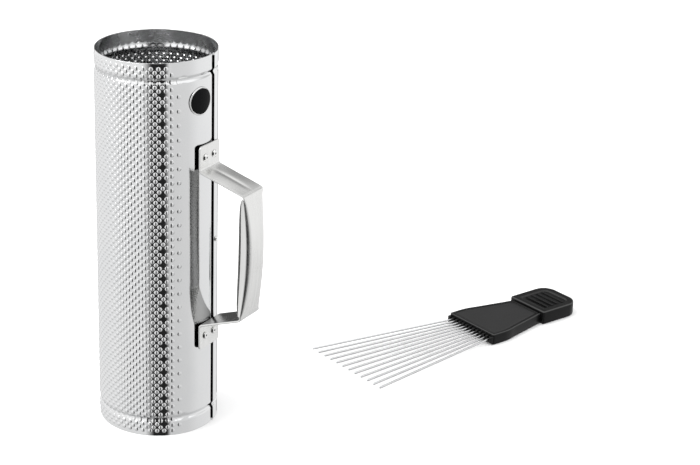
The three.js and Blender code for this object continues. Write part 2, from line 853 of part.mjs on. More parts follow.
function scraper() {
  const pieces = new THREE.Group();
  pieces.add(scraperBody(), scraperCover(), scraperButt());
  for (let index = 0; index < tineCount; index += 1) {
    pieces.add(tine(index));
  }
  pieces.position.x = (tineFreeLength - bodyLength - buttLength) / 2;
  const placed = new THREE.Group();
  placed.add(pieces);
  placed.rotation.z = scraperTurn * degree;
  placed.position.set(scraperOffsetX, scraperOffsetY, 0);
  return placed;
}

const set = new THREE.Group();
set.add(tube(), strapHandle(), rivets(), badge(), scraper());

// The origin goes to the middle of the whole set's base
set.updateMatrixWorld(true);
const bounds = new THREE.Box3().setFromObject(set, true);
const middle = bounds.getCenter(new THREE.Vector3());
set.position.set(-middle.x, -middle.y, -bounds.min.z);

export default set;
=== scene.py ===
"""Looks of the guira and its scraper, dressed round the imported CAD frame. +Z up.

Each piece is worked out in millimetres in its own local frame: the tube's axis for the instrument,
the front edge of the handle for the scraper. It is then set in the shared frame in metres.
"""

import json
import math

import bpy
import numpy as np
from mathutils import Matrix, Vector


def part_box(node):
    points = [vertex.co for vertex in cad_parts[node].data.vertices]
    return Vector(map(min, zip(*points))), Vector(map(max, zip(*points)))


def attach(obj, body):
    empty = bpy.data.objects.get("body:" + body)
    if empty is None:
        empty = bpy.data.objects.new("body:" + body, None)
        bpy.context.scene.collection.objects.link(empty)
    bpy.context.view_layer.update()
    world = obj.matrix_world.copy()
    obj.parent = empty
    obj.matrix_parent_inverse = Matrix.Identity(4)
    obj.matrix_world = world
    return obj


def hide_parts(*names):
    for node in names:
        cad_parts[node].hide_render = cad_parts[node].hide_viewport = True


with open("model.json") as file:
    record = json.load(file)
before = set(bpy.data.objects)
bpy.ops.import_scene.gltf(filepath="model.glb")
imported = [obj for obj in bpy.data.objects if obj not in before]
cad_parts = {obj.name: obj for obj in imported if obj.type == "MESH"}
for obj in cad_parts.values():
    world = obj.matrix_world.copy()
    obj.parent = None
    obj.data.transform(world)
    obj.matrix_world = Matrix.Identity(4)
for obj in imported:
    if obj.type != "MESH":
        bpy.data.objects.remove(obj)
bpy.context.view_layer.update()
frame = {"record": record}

MM = 0.001

# Camera: where it stands from the tube's axis, in metres and degrees, and how it looks
CAMERA_AZIMUTH = -55
CAMERA_DISTANCE = 1.776
CAMERA_HEIGHT = 0.9065
CAMERA_PITCH = 21.79
CAMERA_PAN = 1.045
FOCAL_PIXELS = 1915
FRAME_WIDTH = 700
SENSOR_WIDTH = 36
PRINCIPAL_X = 190

# Sheet of the tube
TUBE_RADIUS = 60
SHEET = 0.8
BEAD_FROM_END = 18
BEAD_WIDTH = 8
BEAD_DEPTH = 1.6
LAP_ANGLE = 10
PLAIN_AFTER_LAP = 52
PLAIN_BEFORE_LAP = 41
PLAIN_RIM = 2

# Pressed domes: half the pitch round the tube and up it, and the shape of one dome as
# (distance from its middle, share of its height, slope in degrees). The last four half columns
# stand at their own distances before the lap and a little lower, and hold one full and one half
# empty column. Their domes have their own shares of the height, and so have those on a bead.
HALF_PITCH_ROUND = 3.6
HALF_PITCH_UP = 3.6
DENSE_BEFORE_LAP = 59.1
SPARSE_BEFORE_LAP = (53.9, 50.3, 46.6, PLAIN_BEFORE_LAP)
DOME_HEIGHT = 0.84
BEAD_DOME_SHARE = 0.55
SPARSE_HEIGHT = (0.75, 0.55, 0.55, 0.55)
SPARSE_DROP = (2.6, 2.6, 3.0, 3.0)
DROP_ROWS = 4
DOME_EDGE = (2.3, 0.0, 39)
DOME_CAP = (1.32, 0.7, 21)
DIMPLE_RING = (2.1, 0.45, 50)
DIMPLES_FROM_END = 22

# Strap handle
STRAP_WIDTH = 34
STRAP_THICKNESS = 2
HANDLE_BELOW_RIM = 87
FOOT_LENGTH_TOP = 25
ARM_DROP_TOP = 15
GRIP_LENGTH = 130
ARM_DROP_BOTTOM = 17
FOOT_LENGTH_BOTTOM = 26
GRIP_DISTANCE_TOP = 111.5
GRIP_DISTANCE_BOTTOM = 108.5
GRIP_BOW = 6.5
BOW_TANGENT = 4
GRIP_OUTER = 117.993
FOOT_BEND = 4
GRIP_BEND = 4
FOOT_CORNER = 3
FLANGE_WIDTH = 12.7
FLANGE_START = 0.4
FLANGE_SWELL = 6.0
CREASE_DEPTH = 0.55
CREASE_WIDTH = 2.6
ARM_CROWN = 1.0
ARM_BOW = 0.9
ARM_FACE = (0.3, 0.95)
ARM_ROWS = 12
GRIP_ROWS = 50
STRAP_EDGE = 0.25
CAP_SHARE = 0.45
# Colour of the strap's inner side: partly a duller finish, partly painted shade
DULL_AND_SHADED_INNER_STRAP = (0.38, 0.38, 0.375)
SEAT_GAP = 0.3

# Blind rivets: head radius and height, shank, bore and bulb radius
FOOT_RIVET = dict(head=3.9, height=1.5, shank=2.0, bore=1.3, bulb=2.9)
SEAM_RIVET = dict(head=2.8, height=1.0, shank=1.4, bore=0.9, bulb=2.0)
RIVET_SPACING = 15
BULB_LENGTH = 3.2
MANDREL_SINK = 0.5
HOLE_SHARE = 0.75
HEAD_CONE = 0.2
MANDREL_HEAD = 1.2
SEAM_RIVET_HEIGHT = 198
LAP_WIDTH = 10.5
JOGGLE_WIDTH = 4.5

# Badge
BADGE_RADIUS = 14
BADGE_ANGLE = -11
BADGE_BELOW_RIM = 42
BADGE_THICKNESS = 1.3
BADGE_RIM = 1.2
BADGE_RECESS = 0.7
BADGE_CROWN = 0.5
BADGE_SIDES = 72

# Scraper
TINE_COUNT = 12
TINE_RADIUS = 1.05
TINE_FREE = 180
TINE_SEAT = 32
TIP_SPREAD = 116
ROOT_SPREAD = 62
BODY_LENGTH = 84
BODY_THICKNESS = 13
FRONT_WIDTH = 73
NECK_WIDTH = 45
SHOULDER = 24
SHOULDER_BEFORE = 8
SHOULDER_AFTER = 10
SHOULDER_TAPER = 0.22
FRONT_CORNER = 2
COMB_LENGTH = 3.5
COMB_HEIGHT = 7.5
COMB_MARGIN = 2
COMB_ROOT = 2.5
COMB_BEVEL = 0.45
SLOT_WIDTH = 2.9
COVER_BORDER = 3
COVER_GROOVE = 0.6
COVER_THICKNESS = 1.6
COVER_SINK = 0.4
BUTT_LENGTH = 56
BUTT_WIDTH = 55
BUTT_THICKNESS = 16
BUTT_CORNER = 16
BUTT_FRONT_CORNER = 2
PANEL_BORDER = 8
PANEL_DEPTH = 1.6
RIB_COUNT = 4
RIB_WIDTH = 2.6
RIB_ROOT = 0.8
RIB_BEVEL = 0.5
RIB_SINK = 0.25
# Rounding of the lower and the upper edge
HANDLE_ROUND = (1.4, 1.2)
BUTT_ROUND = (1.8, 1.6)
SCRAPER_TURN = 68

tube_low, tube_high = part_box("tube")
strap_low, strap_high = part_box("strap_handle")
TUBE_HEIGHT = round((tube_high.z - tube_low.z) / MM, 3)
# The strap is even about the axis across, and reaches out from it by a known length
AXIS = np.array([strap_high.x - GRIP_OUTER * MM, (strap_low.y + strap_high.y) / 2, tube_low.z])
ROUND = 2 * math.pi * TUBE_RADIUS


def turned(points, degrees):
    turn = math.radians(degrees)
    c, s = math.cos(turn), math.sin(turn)
    return np.asarray(points, float) @ np.array([[c, s, 0], [-s, c, 0], [0, 0, 1]])


def scraper_origin():
    """The middle of the handle's front edge, half its length before the mount under it."""
    mounts = {mount["name"]: mount["pos_m"] for mount in frame["record"]["mounts"]}
    return np.array(mounts["scraper_underside"]) - turned((BODY_LENGTH / 2 * MM, 0, 0), SCRAPER_TURN)


GUIRA = ("guira", AXIS, 0)
SCRAPER = ("scraper", scraper_origin(), SCRAPER_TURN)


def put(name, data):
    made = bpy.data.objects.new(name, data)
    bpy.context.scene.collection.objects.link(made)
    return made


def make_piece(name, points, faces, material, home, replaced, normals=None, sharp=50, uv=None):
    """A mesh piece from local millimetres, riding on its body and standing for its CAD nodes. Its
    normals and its unrolled map have a row for each corner of each face."""
    body, origin, turn = home
    data = bpy.data.meshes.new(name)
    placed = turned(points, turn) * MM + origin
    data.from_pydata(placed.tolist(), [], [tuple(int(i) for i in face) for face in faces])
    data.shade_smooth()
    if normals is None:
        data.set_sharp_from_angle(angle=math.radians(sharp))
    else:
        data.normals_split_custom_set(turned(normals, turn).tolist())
    if uv is not None:
        layer = data.uv_layers.new(name="lie")
        layer.data.foreach_set("uv", np.asarray(uv, np.float32).ravel())
    data.materials.append(material)
    piece = put(name, data)
    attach(piece, body)
    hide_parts(*replaced)


# Node shorthand for the materials


def feed(socket, value):
    """Fills an input from another node's output or with a plain value."""
    if isinstance(value, bpy.types.NodeSocket):
        value.id_data.links.new(value, socket)
    else:
        socket.default_value = value


def add_node(tree, kind, *values, settings=None, **inputs):
    """A node with its first inputs filled in their order, and others by name."""
    node = tree.nodes.new("ShaderNode" + kind)
    for key, value in (settings or {}).items():
        setattr(node, key, value)
    for key, value in [*enumerate(values), *inputs.items()]:
        feed(node.inputs[key], value)
    return node


def new_material(name, **constants):
    material = bpy.data.materials.new(name)
    material.use_nodes = True
    tree = material.node_tree
    for key, value in constants.items():
        tree.nodes["Principled BSDF"].inputs[key.replace("_", " ")].default_value = value
    return material, tree


def space_of(tree, space):
    """The object's own coordinates or normals, or "lie", the map in metres of the unrolled steel."""
    if space == "lie":
        return add_node(tree, "UVMap", settings={"uv_map": "lie"}).outputs[0]
    return add_node(tree, "TexCoord").outputs[space]


def coordinate(tree, space, axis):
    return add_node(tree, "SeparateXYZ", space_of(tree, space)).outputs[axis]


def noise(tree, scale, detail=3.0, roughness=0.55, stretch=None, space="Object"):
    where = space_of(tree, space)
    if stretch:
        where = add_node(tree, "Mapping", Vector=where, Scale=stretch).outputs[0]
    return add_node(
        tree, "TexNoise", Vector=where, Scale=scale, Detail=detail, Roughness=roughness
    ).outputs[0]


def spread(value, low, high, start=0.3, end=0.7):
    """Brings a pattern from its own range to another."""
    return add_node(value.id_data, "MapRange", value, start, end, low, high).outputs[0]


def total(first, second, how="ADD"):
    settings = {"operation": how}
    return add_node(first.id_data, "Math", first, second, settings=settings).outputs[0]


def times(first, second):
    return total(first, second, "MULTIPLY")


def mixed(factor, first, second):
    """Blends two colours, each given as a socket or as a plain colour."""
    node = add_node(factor.id_data, "Mix", factor, settings={"data_type": "RGBA"})
    for socket, colour in ((node.inputs[6], first), (node.inputs[7], second)):
        feed(socket, colour if isinstance(colour, bpy.types.NodeSocket) else (*colour, 1))
    return node.outputs[2]


def finished(material, colour, rough, height, depth):
    """Gives a material its colour, its roughness and a relief of a depth in metres."""
    tree = material.node_tree
    bump = add_node(tree, "Bump", Strength=1.0, Distance=depth, Height=height).outputs[0]
    for key, socket in (("Base Color", colour), ("Roughness", rough), ("Normal", bump)):
        feed(tree.nodes["Principled BSDF"].inputs[key], socket)
    return material


# Surfaces of one fine pattern: its (scale, detail), the same of the pattern that the roughness
# follows, the range of roughness, the darker and lighter tones, the depth of the relief, the
# metallic share and the specular level
FINE_SURFACES = {
    # Pressed rivet heads: bright, with fine setting marks
    "rivet_steel": (
        (900, 3), (160, 2), (0.10, 0.2), (0.86, 0.86, 0.85), (0.94, 0.94, 0.93), 0.00003, 1.0, 0.5,
    ),
    # Broken-off mandrels: dull grey with a coarse break
    "dark_steel": (
        (1800, 4), (1800, 4), (0.4, 0.65), (0.02, 0.02, 0.022), (0.07, 0.07, 0.075), 0.00012, 0.9, 0.5,
    ),
    # Bright turned rim of the badge
    "badge_steel": (
        (700, 3), (700, 3), (0.08, 0.2), (0.80, 0.80, 0.80), (0.88, 0.88, 0.88), 0.00001, 1.0, 0.5,
    ),
    # Glossy domed enamel with slight orange peel
    "black_enamel": (
        (420, 2), (2600, 2), (0.10, 0.24), (0.002, 0.002, 0.0024), (0.005, 0.005, 0.0056), 0.00003,
        0.0, 0.06,
    ),
}
WAVE_DEPTH = 0.0006
ROLLING_SHARE = 0.02
# Painted shade: near-black colour for the shadow and dark reflection in the groove beside the lap's
# edge
LAP_SHADE_COLOUR = (0.004, 0.004, 0.0045)
LAP_SHADE_SOFTNESS = 0.15
STRAP_RELIEF = 0.00004
# Painted shade for the strap's faces hidden behind the feet, against the tube
PAINTED_FOOT_SHADE = (0.01, 0.01, 0.01)
PLASTIC_GRAIN = (2400, 3, 0.6)
# The normal's heights between which a plastic face turns into a smoother worn edge with a painted
# highlight, and back
EDGE_FROM, EDGE_TO = (0.15, 0.4), (0.88, 0.97)
# The normal's heights between which a tine turns from painted shade on its underside to bright
TINE_UNDERSIDE_SHADE = (-0.25, 0.15)


def fine_surface(name):
    pattern, rough_pattern, rough, dark, light, depth, metallic, specular = FINE_SURFACES[name]
    material, tree = new_material(name, Metallic=metallic, Specular_IOR_Level=specular)
    pattern = noise(tree, *pattern)
    rough = spread(noise(tree, *rough_pattern), *rough)
    return finished(material, mixed(pattern, dark, light), rough, pattern, depth)


def polished_steel():
    """Cold-rolled sheet: faint rolling lines round the tube, cloudy polish, slight waves, painted shade
    along the edge of the lap for the shadow and dark reflection in its groove, and a duller band inside
    the mouth."""
    material, tree = new_material("polished_steel", Metallic=1.0)
    lines = noise(tree, 1.0, 4, stretch=(12, 900, 1), space="lie")
    clouds = noise(tree, 28)
    waves = noise(tree, 22, 1, stretch=(1, 1, 0.6))
    clean = mixed(clouds, (0.80, 0.81, 0.82), (0.88, 0.88, 0.88))
    arc, height = coordinate(tree, "lie", 0), coordinate(tree, "lie", 1)
    # Between the outside's map and the inside's
    inside = spread(arc, 0.0, 1.0, *((INSIDE_TURNS - share) * ROUND * MM for share in (0.3, 0.2)))
    mouth = (TUBE_HEIGHT - BEAD_FROM_END + BEAD_WIDTH / 2) * MM
    near_mouth = spread(height, 0.0, MOUTH_ROUGHNESS, mouth - 2 * MM, mouth)
    brushed = times(times(inside, near_mouth), spread(clouds, 0.5, 1.5))
    rough = total(spread(lines, 0.01, 0.04), spread(clouds, 0.04, 0.09))
    rough = total(rough, brushed)
    # Painted shade: a near-black band along the lap's edge
    from_lap_shade = total(total(arc, LAP_SHADE_MIDDLE * MM, "SUBTRACT"), 0.0, "ABSOLUTE")
    edges = (LAP_SHADE_HALF - LAP_SHADE_SOFTNESS) * MM, (LAP_SHADE_HALF + LAP_SHADE_SOFTNESS) * MM
    colour = mixed(spread(from_lap_shade, 1.0, 0.0, *edges), clean, LAP_SHADE_COLOUR)
    relief = total(times(lines, ROLLING_SHARE), waves)
    return finished(material, colour, rough, relief, WAVE_DEPTH)


def satin_steel(inner_width):
    """Strap: brushed along its length, with a few longer scratches and cloudy handling marks, darker on
    its inner side from a duller finish and painted shade, and painted near black as shade where it is
    hidden behind the feet."""
    material, tree = new_material("satin_steel", Metallic=1.0)
    brush = noise(tree, 1.0, 5, 0.65, stretch=(9, 1600, 1), space="lie")
    marks = noise(tree, 1.0, 2, stretch=(4, 260, 1), space="lie")
    clouds = noise(tree, 45)
    rough = total(spread(brush, 0.16, 0.24), spread(clouds, 0.0, 0.1))
    middle = inner_width / 2
    from_middle = total(coordinate(tree, "lie", 1), middle, "SUBTRACT")
    from_middle = total(from_middle, 0.0, "ABSOLUTE")
    inner = spread(from_middle, 1.0, 0.0, middle - 1.0 * MM, middle - 0.2 * MM)
    outer_side = mixed(marks, (0.80, 0.80, 0.79), (0.93, 0.93, 0.92))
    # The inner side is darker: partly a duller finish, partly painted shade
    bright = mixed(inner, outer_side, DULL_AND_SHADED_INNER_STRAP)
    # Painted shade: the strap's face behind the feet, against the tube, is coloured near black
    behind = AXIS[0] + (FOOT_MIDDLE - STRAP_THICKNESS / 4) * MM
    out = spread(coordinate(tree, "Object", 0), 0.0, 1.0, behind, behind + 0.3 * MM)
    relief = total(brush, times(marks, 0.5))
    return finished(material, mixed(out, PAINTED_FOOT_SHADE, bright), rough, relief, STRAP_RELIEF)


def tine_steel():
    """Drawn spring wire with fine lines along it, bright above and painted dark as shade where it faces
    down.
    """
    material, tree = new_material("tine_steel", Metallic=1.0)
    lines = noise(tree, 1.0, stretch=(20, 1400, 1), space="lie")
    clouds = noise(tree, 70, 2)
    rough = total(spread(lines, 0.10, 0.2), spread(clouds, 0.0, 0.08))
    # Painted shade: the wire's colour darkens where its normal faces down
    above = spread(coordinate(tree, "Normal", 2), 0.0, 1.0, *TINE_UNDERSIDE_SHADE)
    bright = mixed(clouds, (0.70, 0.71, 0.72), (0.82, 0.82, 0.83))
    colour = mixed(above, (0.20, 0.205, 0.21), bright)
    return finished(material, colour, rough, lines, 0.00001)


def panel_plastic():
    """The cover's black plastic, a little greyer, with a fine spark-eroded grain."""
    material, tree = new_material("panel_plastic", Metallic=0.0, Specular_IOR_Level=0.45)
    grain, clouds = noise(tree, *PLASTIC_GRAIN), noise(tree, 60)
    rough = total(spread(grain, 0.3, 0.42), spread(clouds, 0.0, 0.1))
    colour = mixed(clouds, (0.007, 0.007, 0.0072), (0.011, 0.011, 0.0112))
    return finished(material, colour, rough, grain, 0.00006)


def black_plastic():
    """Moulded black plastic with a fine grain, and on its upper edges a smoother worn finish with a
    painted highlight.
    """
    material, tree = new_material("black_plastic", Metallic=0.0, Specular_IOR_Level=0.16)
    grain, clouds = noise(tree, *PLASTIC_GRAIN), noise(tree, 60)
    upright = coordinate(tree, "Normal", 2)
    rising = spread(upright, 0.0, 1.0, *EDGE_FROM)
    wear_and_sheen = times(rising, spread(upright, 1.0, 0.0, *EDGE_TO))
    rough = total(spread(grain, 0.3, 0.4), spread(wear_and_sheen, 0.0, -0.12, 0, 1))
    flat = mixed(clouds, (0.0025, 0.0025, 0.0026), (0.0055, 0.0055, 0.0057))
    # Painted highlight: the upper edges are coloured lighter grey
    colour = mixed(wear_and_sheen, flat, (0.05, 0.05, 0.05))
    return finished(material, colour, rough, grain, 0.00004)


# Tube


def bead_inset(z):
    offset = np.abs(np.minimum(z, TUBE_HEIGHT - z) - BEAD_FROM_END) / (BEAD_WIDTH / 2)
    return np.where(offset < 1, BEAD_DEPTH * np.cos(offset * math.pi / 2) ** 2, 0.0)


def bead_slope(z):
    """How fast the wall's radius grows with height."""
    step = 0.01
    return -(bead_inset(z + step) - bead_inset(z - step)) / (2 * step)


def angle_at(arc):
    return math.radians(LAP_ANGLE) + np.asarray(arc, float) / TUBE_RADIUS


def on_cylinder(radius, arc, z):
    """Points at a distance round the tube from the lap's edge."""
    angle = angle_at(arc)
    return np.stack(np.broadcast_arrays(radius * np.cos(angle), radius * np.sin(angle), z), -1)


def tilted_normals(arc, slope_round, slope_up, facing):
    """Unit normals of a wall that stands out or in along its slopes; facing is 1 outside, -1 inside."""
    angle, slope_round, slope_up = np.broadcast_arrays(angle_at(arc), slope_round, slope_up)
    x = np.cos(angle) + slope_round * np.sin(angle)
    y = np.sin(angle) - slope_round * np.cos(angle)
    normal = np.stack([x, y, -slope_up], -1)
    return facing * normal / np.linalg.norm(normal, axis=-1, keepdims=True)


class Skin:
    """A growing mesh with a normal for each vertex, and another one for the flat faces beside it."""

    def __init__(self):
        self.points, self.normals, self.ground, self.lie = [], [], [], []
        self.faces, self.on_ground, self.count = [], [], 0

    def add(self, radius, arc, z, slope_round, slope_up, facing):
        arc, z = np.broadcast_arrays(arc, z)
        points = on_cylinder(radius, arc, z)
        normals = tilted_normals(arc, slope_round, slope_up, facing)
        unrolled = arc if facing > 0 else arc + INSIDE_TURNS * ROUND
        return self.take(points, normals, np.stack([unrolled, z], -1) * MM)

    def take(self, points, normals, lie):
        self.points.append(points.reshape(-1, 3))
        self.normals.append(normals.reshape(-1, 3))
        self.ground.append(self.normals[-1])
        self.lie.append(lie.reshape(-1, 2))
        start = self.count
        self.count += len(self.points[-1])
        return np.arange(start, self.count).reshape(points.shape[:-1])

    def face(self, *corners, facing=1, on_ground=False):
        """Faces from arrays of vertex numbers, the wall's own way round or turned for its inside."""
        table = np.stack([np.ravel(c) for c in corners], -1)
        self.faces.extend((table if facing > 0 else table[:, ::-1]).tolist())
        self.on_ground.extend([on_ground] * len(table))


HALF_DENSE = round((ROUND - PLAIN_AFTER_LAP - DENSE_BEFORE_LAP) / HALF_PITCH_ROUND)
HALF_COLUMNS = HALF_DENSE + len(SPARSE_BEFORE_LAP)
HALF_ROWS = round((TUBE_HEIGHT - 2 * PLAIN_RIM) / HALF_PITCH_UP)
LATTICE_ARCS = np.concatenate([
    np.linspace(PLAIN_AFTER_LAP, ROUND - DENSE_BEFORE_LAP, HALF_DENSE + 1),
    ROUND - np.array(SPARSE_BEFORE_LAP),
])
LATTICE_HEIGHTS = np.linspace(PLAIN_RIM, TUBE_HEIGHT - PLAIN_RIM, HALF_ROWS + 1)
DENSE = np.zeros(HALF_DENSE + 1)
HEIGHT_SHARE = np.concatenate([DENSE + 1, SPARSE_HEIGHT])
COLUMN_DROP = np.concatenate([DENSE, SPARSE_DROP])
ROW_DROP = np.minimum(1.0, np.arange(HALF_ROWS + 1) / DROP_ROWS)
ROW_DROP[-1] = 0.0
LATTICE_Z = LATTICE_HEIGHTS - np.outer(COLUMN_DROP, ROW_DROP)


def dome_ring(skin, base, arc, z, height, ring, count, facing):
    """A ring of points round each dome, with the wall's own normals for the flat faces beside it."""
    distance, share, slope = ring
    angle = np.arange(count) * 2 * math.pi / count
    across = arc[:, None] + distance * np.cos(angle)
    up = z[:, None] + distance * np.sin(angle)
    fall = -math.tan(math.radians(slope)) * (height[:, None] / DOME_HEIGHT)
    radius = base - bead_inset(up) + share * height[:, None]
    slope_up = fall * np.sin(angle) + bead_slope(up)
    made = skin.add(radius, across, up, fall * np.cos(angle), slope_up, facing)
    skin.ground[-1] = tilted_normals(across, 0.0, bead_slope(up), facing).reshape(-1, 3)
    return made


def dome_heights(z, facing):
    """Domes flatten on a bead; inside, they are seen only between the beads."""
    from_end = np.minimum(z, TUBE_HEIGHT - z)
    on_bead = np.abs(from_end - BEAD_FROM_END) < BEAD_WIDTH / 2
    height = np.where(on_bead, BEAD_DOME_SHARE, 1.0) * DOME_HEIGHT
    if facing < 0:
        height = np.where(from_end < DIMPLES_FROM_END, 0.0, height)
    return height


def lattice(skin, base, facing):
    """The domed stretch of the wall. Lattice points where column plus row is even are the tops of
    domes, and the odd ones are the corners between them."""
    columns, rows = np.meshgrid(np.arange(HALF_COLUMNS + 1), np.arange(HALF_ROWS + 1), indexing="ij")
    inner = (columns > 0) & (columns < HALF_COLUMNS) & (rows > 0) & (rows < HALF_ROWS)
    top = inner & ((columns + rows) % 2 == 0)
    arc, z = LATTICE_ARCS[columns], LATTICE_Z
    every_other = rows // 2 % 2 == 1
    left_out = columns == HALF_COLUMNS - 2
    left_out |= (columns == HALF_COLUMNS - 1) & ~every_other
    # The last dense column but one
    left_out |= (columns == HALF_DENSE - 1) & every_other
    height = np.where(top & ~left_out, dome_heights(z, facing), 0.0) * HEIGHT_SHARE[columns]
    grid = skin.add(base - bead_inset(z) + height, arc, z, 0.0, bead_slope(z), facing)
    c, r = np.nonzero(top)
    corners = (grid[c + 1, r], grid[c, r + 1], grid[c - 1, r], grid[c, r - 1])
    arc, z, tall = arc[c, r], z[c, r], height[c, r]
    if facing > 0:
        edge = dome_ring(skin, base, arc, z, tall, DOME_EDGE, 8, facing)
        cap = dome_ring(skin, base, arc, z, tall, DOME_CAP, 4, facing)
        for k, corner in enumerate(corners):
            after = (k + 1) % 4
            near, middle, far = (edge[:, (2 * k + step) % 8] for step in range(3))
            outer = (near, corner, corners[after], far)
            for first, second in zip(outer, outer[1:]):
                skin.face(first, second, middle, on_ground=True)
            first, second = cap[:, k], cap[:, after]
            skin.face(first, near, middle)
            skin.face(first, middle, second)
            skin.face(second, middle, far)
            skin.face(grid[c, r], first, second)
    else:
        ring = dome_ring(skin, base, arc, z, tall, DIMPLE_RING, 4, facing)
        for k, corner in enumerate(corners):
            after = (k + 1) % 4
            near, far = ring[:, k], ring[:, after]
            skin.face(corner, corners[after], far, near, facing=facing, on_ground=True)
        skin.face(*ring.T, facing=facing)
    border_faces(skin, grid, ~inner & ((columns + rows) % 2 == 0), facing)
    return grid


def border_faces(skin, grid, halved, facing):
    """Flat triangles between the lattice points on the borders and the neighbours that they have."""
    c, r = np.nonzero(halved)
    padded = np.pad(grid, 1, constant_values=-1)
    around = padded[c + 2, r + 1], padded[c + 1, r + 2], padded[c, r + 1], padded[c + 1, r]
    for first, second in zip(around, around[1:] + around[:1]):
        there = (first >= 0) & (second >= 0)
        skin.face(grid[c, r][there], first[there], second[there], facing=facing)


# The plain stretch round the lap, as (distance round from the lap's edge, outer radius, inner
# radius) less the tube's radius. The outer end of the sheet lies over the inner one after 0.
JOGGLE_END = LAP_WIDTH + JOGGLE_WIDTH
LAP_PROFILE = (
    (-6.0, 0.0, 0.0), (-3.4, -0.05, 0.0), (-2.2, -0.45, 0.0), (-1.0, -0.62, 0.0),
    (-0.2, -0.62, 0.0), (-0.05, -0.5, 0.0), (0.0, 0.55, 0.0), (0.3, SHEET + 0.05, 0.0),
    (1.2, SHEET, 0.0), (4.0, SHEET, 0.0), (7.5, SHEET, 0.0), (LAP_WIDTH - 0.1, SHEET, 0.0),
    (LAP_WIDTH + 0.1, SHEET, SHEET - 0.05), (LAP_WIDTH + 0.6, SHEET - 0.02, SHEET - 0.08),
    (LAP_WIDTH + 1.6, 0.66, 0.6), (JOGGLE_END - 1.4, 0.14, 0.1), (JOGGLE_END - 0.4, 0.02, 0.0),
    (JOGGLE_END + 1.0, 0.0, 0.0),
)
# The painted shade beside the lap's edge: its middle and half its width
LAP_SHADE_MIDDLE, LAP_SHADE_HALF = -0.5, 0.9
MOUTH_ROUGHNESS = 0.15
PLAIN_STEP = 5.5
LEVELS = 9
STEEPEST = 1.35
RIM_ROUNDING = 0.28
RIM_SHARES = (0.25, 0.75)
# The unrolled map of the tube's inside lies this many turns beyond the outside's
INSIDE_TURNS = 3


def plain_profile():
    """Columns of the plain stretch, from the far border of the domes round to the near one."""
    before = np.arange(-PLAIN_BEFORE_LAP + PLAIN_STEP, LAP_PROFILE[0][0] - 1, PLAIN_STEP)
    after = np.arange(LAP_PROFILE[-1][0] + PLAIN_STEP, PLAIN_AFTER_LAP - 1, PLAIN_STEP)
    rows = [(s, 0.0, 0.0) for s in before] + list(LAP_PROFILE) + [(s, 0.0, 0.0) for s in after]
    return np.array(rows)


def plain_levels():
    """Few levels on the straight wall, and more across each bead."""
    bead = np.linspace(BEAD_FROM_END - BEAD_WIDTH / 2, BEAD_FROM_END + BEAD_WIDTH / 2, LEVELS)
    half = np.concatenate([[PLAIN_RIM], bead])
    middle = np.linspace(half[-1], TUBE_HEIGHT - half[-1], LEVELS)[1:-1]
    return np.concatenate([half, middle, (TUBE_HEIGHT - half)[::-1]])


def profile_slopes(arcs, radii):
    """Slope at each column as the mean of the turns of the stretches beside it."""
    turn = np.arctan2(np.diff(radii), np.diff(arcs))
    turn = np.concatenate([[turn[0]], (turn[:-1] + turn[1:]) / 2, [turn[-1]]])
    return np.tan(np.clip(turn, -STEEPEST, STEEPEST))


def zip_columns(skin, left, left_z, right, right_z, facing):
    """Joins two upright rows of points of different lengths with triangles."""
    i = j = 0
    while i < len(left) - 1 or j < len(right) - 1:
        climb_left = j == len(right) - 1 or (i < len(left) - 1 and left_z[i + 1] <= right_z[j + 1])
        top = left[i + 1] if climb_left else right[j + 1]
        skin.face(left[i], right[j], top, facing=facing)
        i, j = (i + 1, j) if climb_left else (i, j + 1)


def wall(skin, facing):
    """One side of the sheet. Returns its lowest and highest closed rows of vertices."""
    base = TUBE_RADIUS if facing > 0 else TUBE_RADIUS - SHEET
    domed = lattice(skin, base, facing)
    profile, z = plain_profile(), plain_levels()
    arcs, rise = profile[:, 0], profile[:, 1 if facing > 0 else 2]
    slopes = profile_slopes(arcs, rise)
    radius = base + rise[:, None] - bead_inset(z)
    plain = skin.add(radius, arcs[:, None], z, slopes[:, None], bead_slope(z), facing)
    skin.face(plain[:-1, :-1], plain[1:, :-1], plain[1:, 1:], plain[:-1, 1:], facing=facing)
    zip_columns(skin, domed[-1], LATTICE_Z[-1], plain[0], z, facing)
    zip_columns(skin, plain[-1], z, domed[0], LATTICE_Z[0], facing)
    low = np.concatenate([domed[:, 0], plain[:, 0]])
    high = np.concatenate([domed[:, -1], plain[:, -1]])
    arc_ring = np.concatenate([LATTICE_ARCS, ROUND + arcs])
    rise_ring = np.concatenate([np.zeros(len(LATTICE_ARCS)), rise])
    return low, high, arc_ring, base + rise_ring


def rim(skin, outer, inner, arcs, outer_radius, inner_radius, z, upward):
    """Rounded end of the sheet between its outer and inner rows."""
    edge = z - upward * RIM_ROUNDING
    outside = skin.add(outer_radius, arcs, edge, 0.0, 0.0, 1)
    inside = skin.add(inner_radius, arcs, edge, 0.0, 0.0, -1)
    flat = np.tile([0.0, 0.0, float(upward)], (len(arcs), 1))
    rows = []
    for share in RIM_SHARES:
        radius = outer_radius + (inner_radius - outer_radius) * share
        lie = np.stack([arcs, np.full(len(arcs), z)], -1) * MM
        rows.append(skin.take(on_cylinder(radius, arcs, z), flat, lie))
    chain = [outer, outside, *rows, inside, inner]
    for lower, upper in zip(chain, chain[1:]):
        skin.face(lower, np.roll(lower, -1), np.roll(upper, -1), upper, facing=upward)


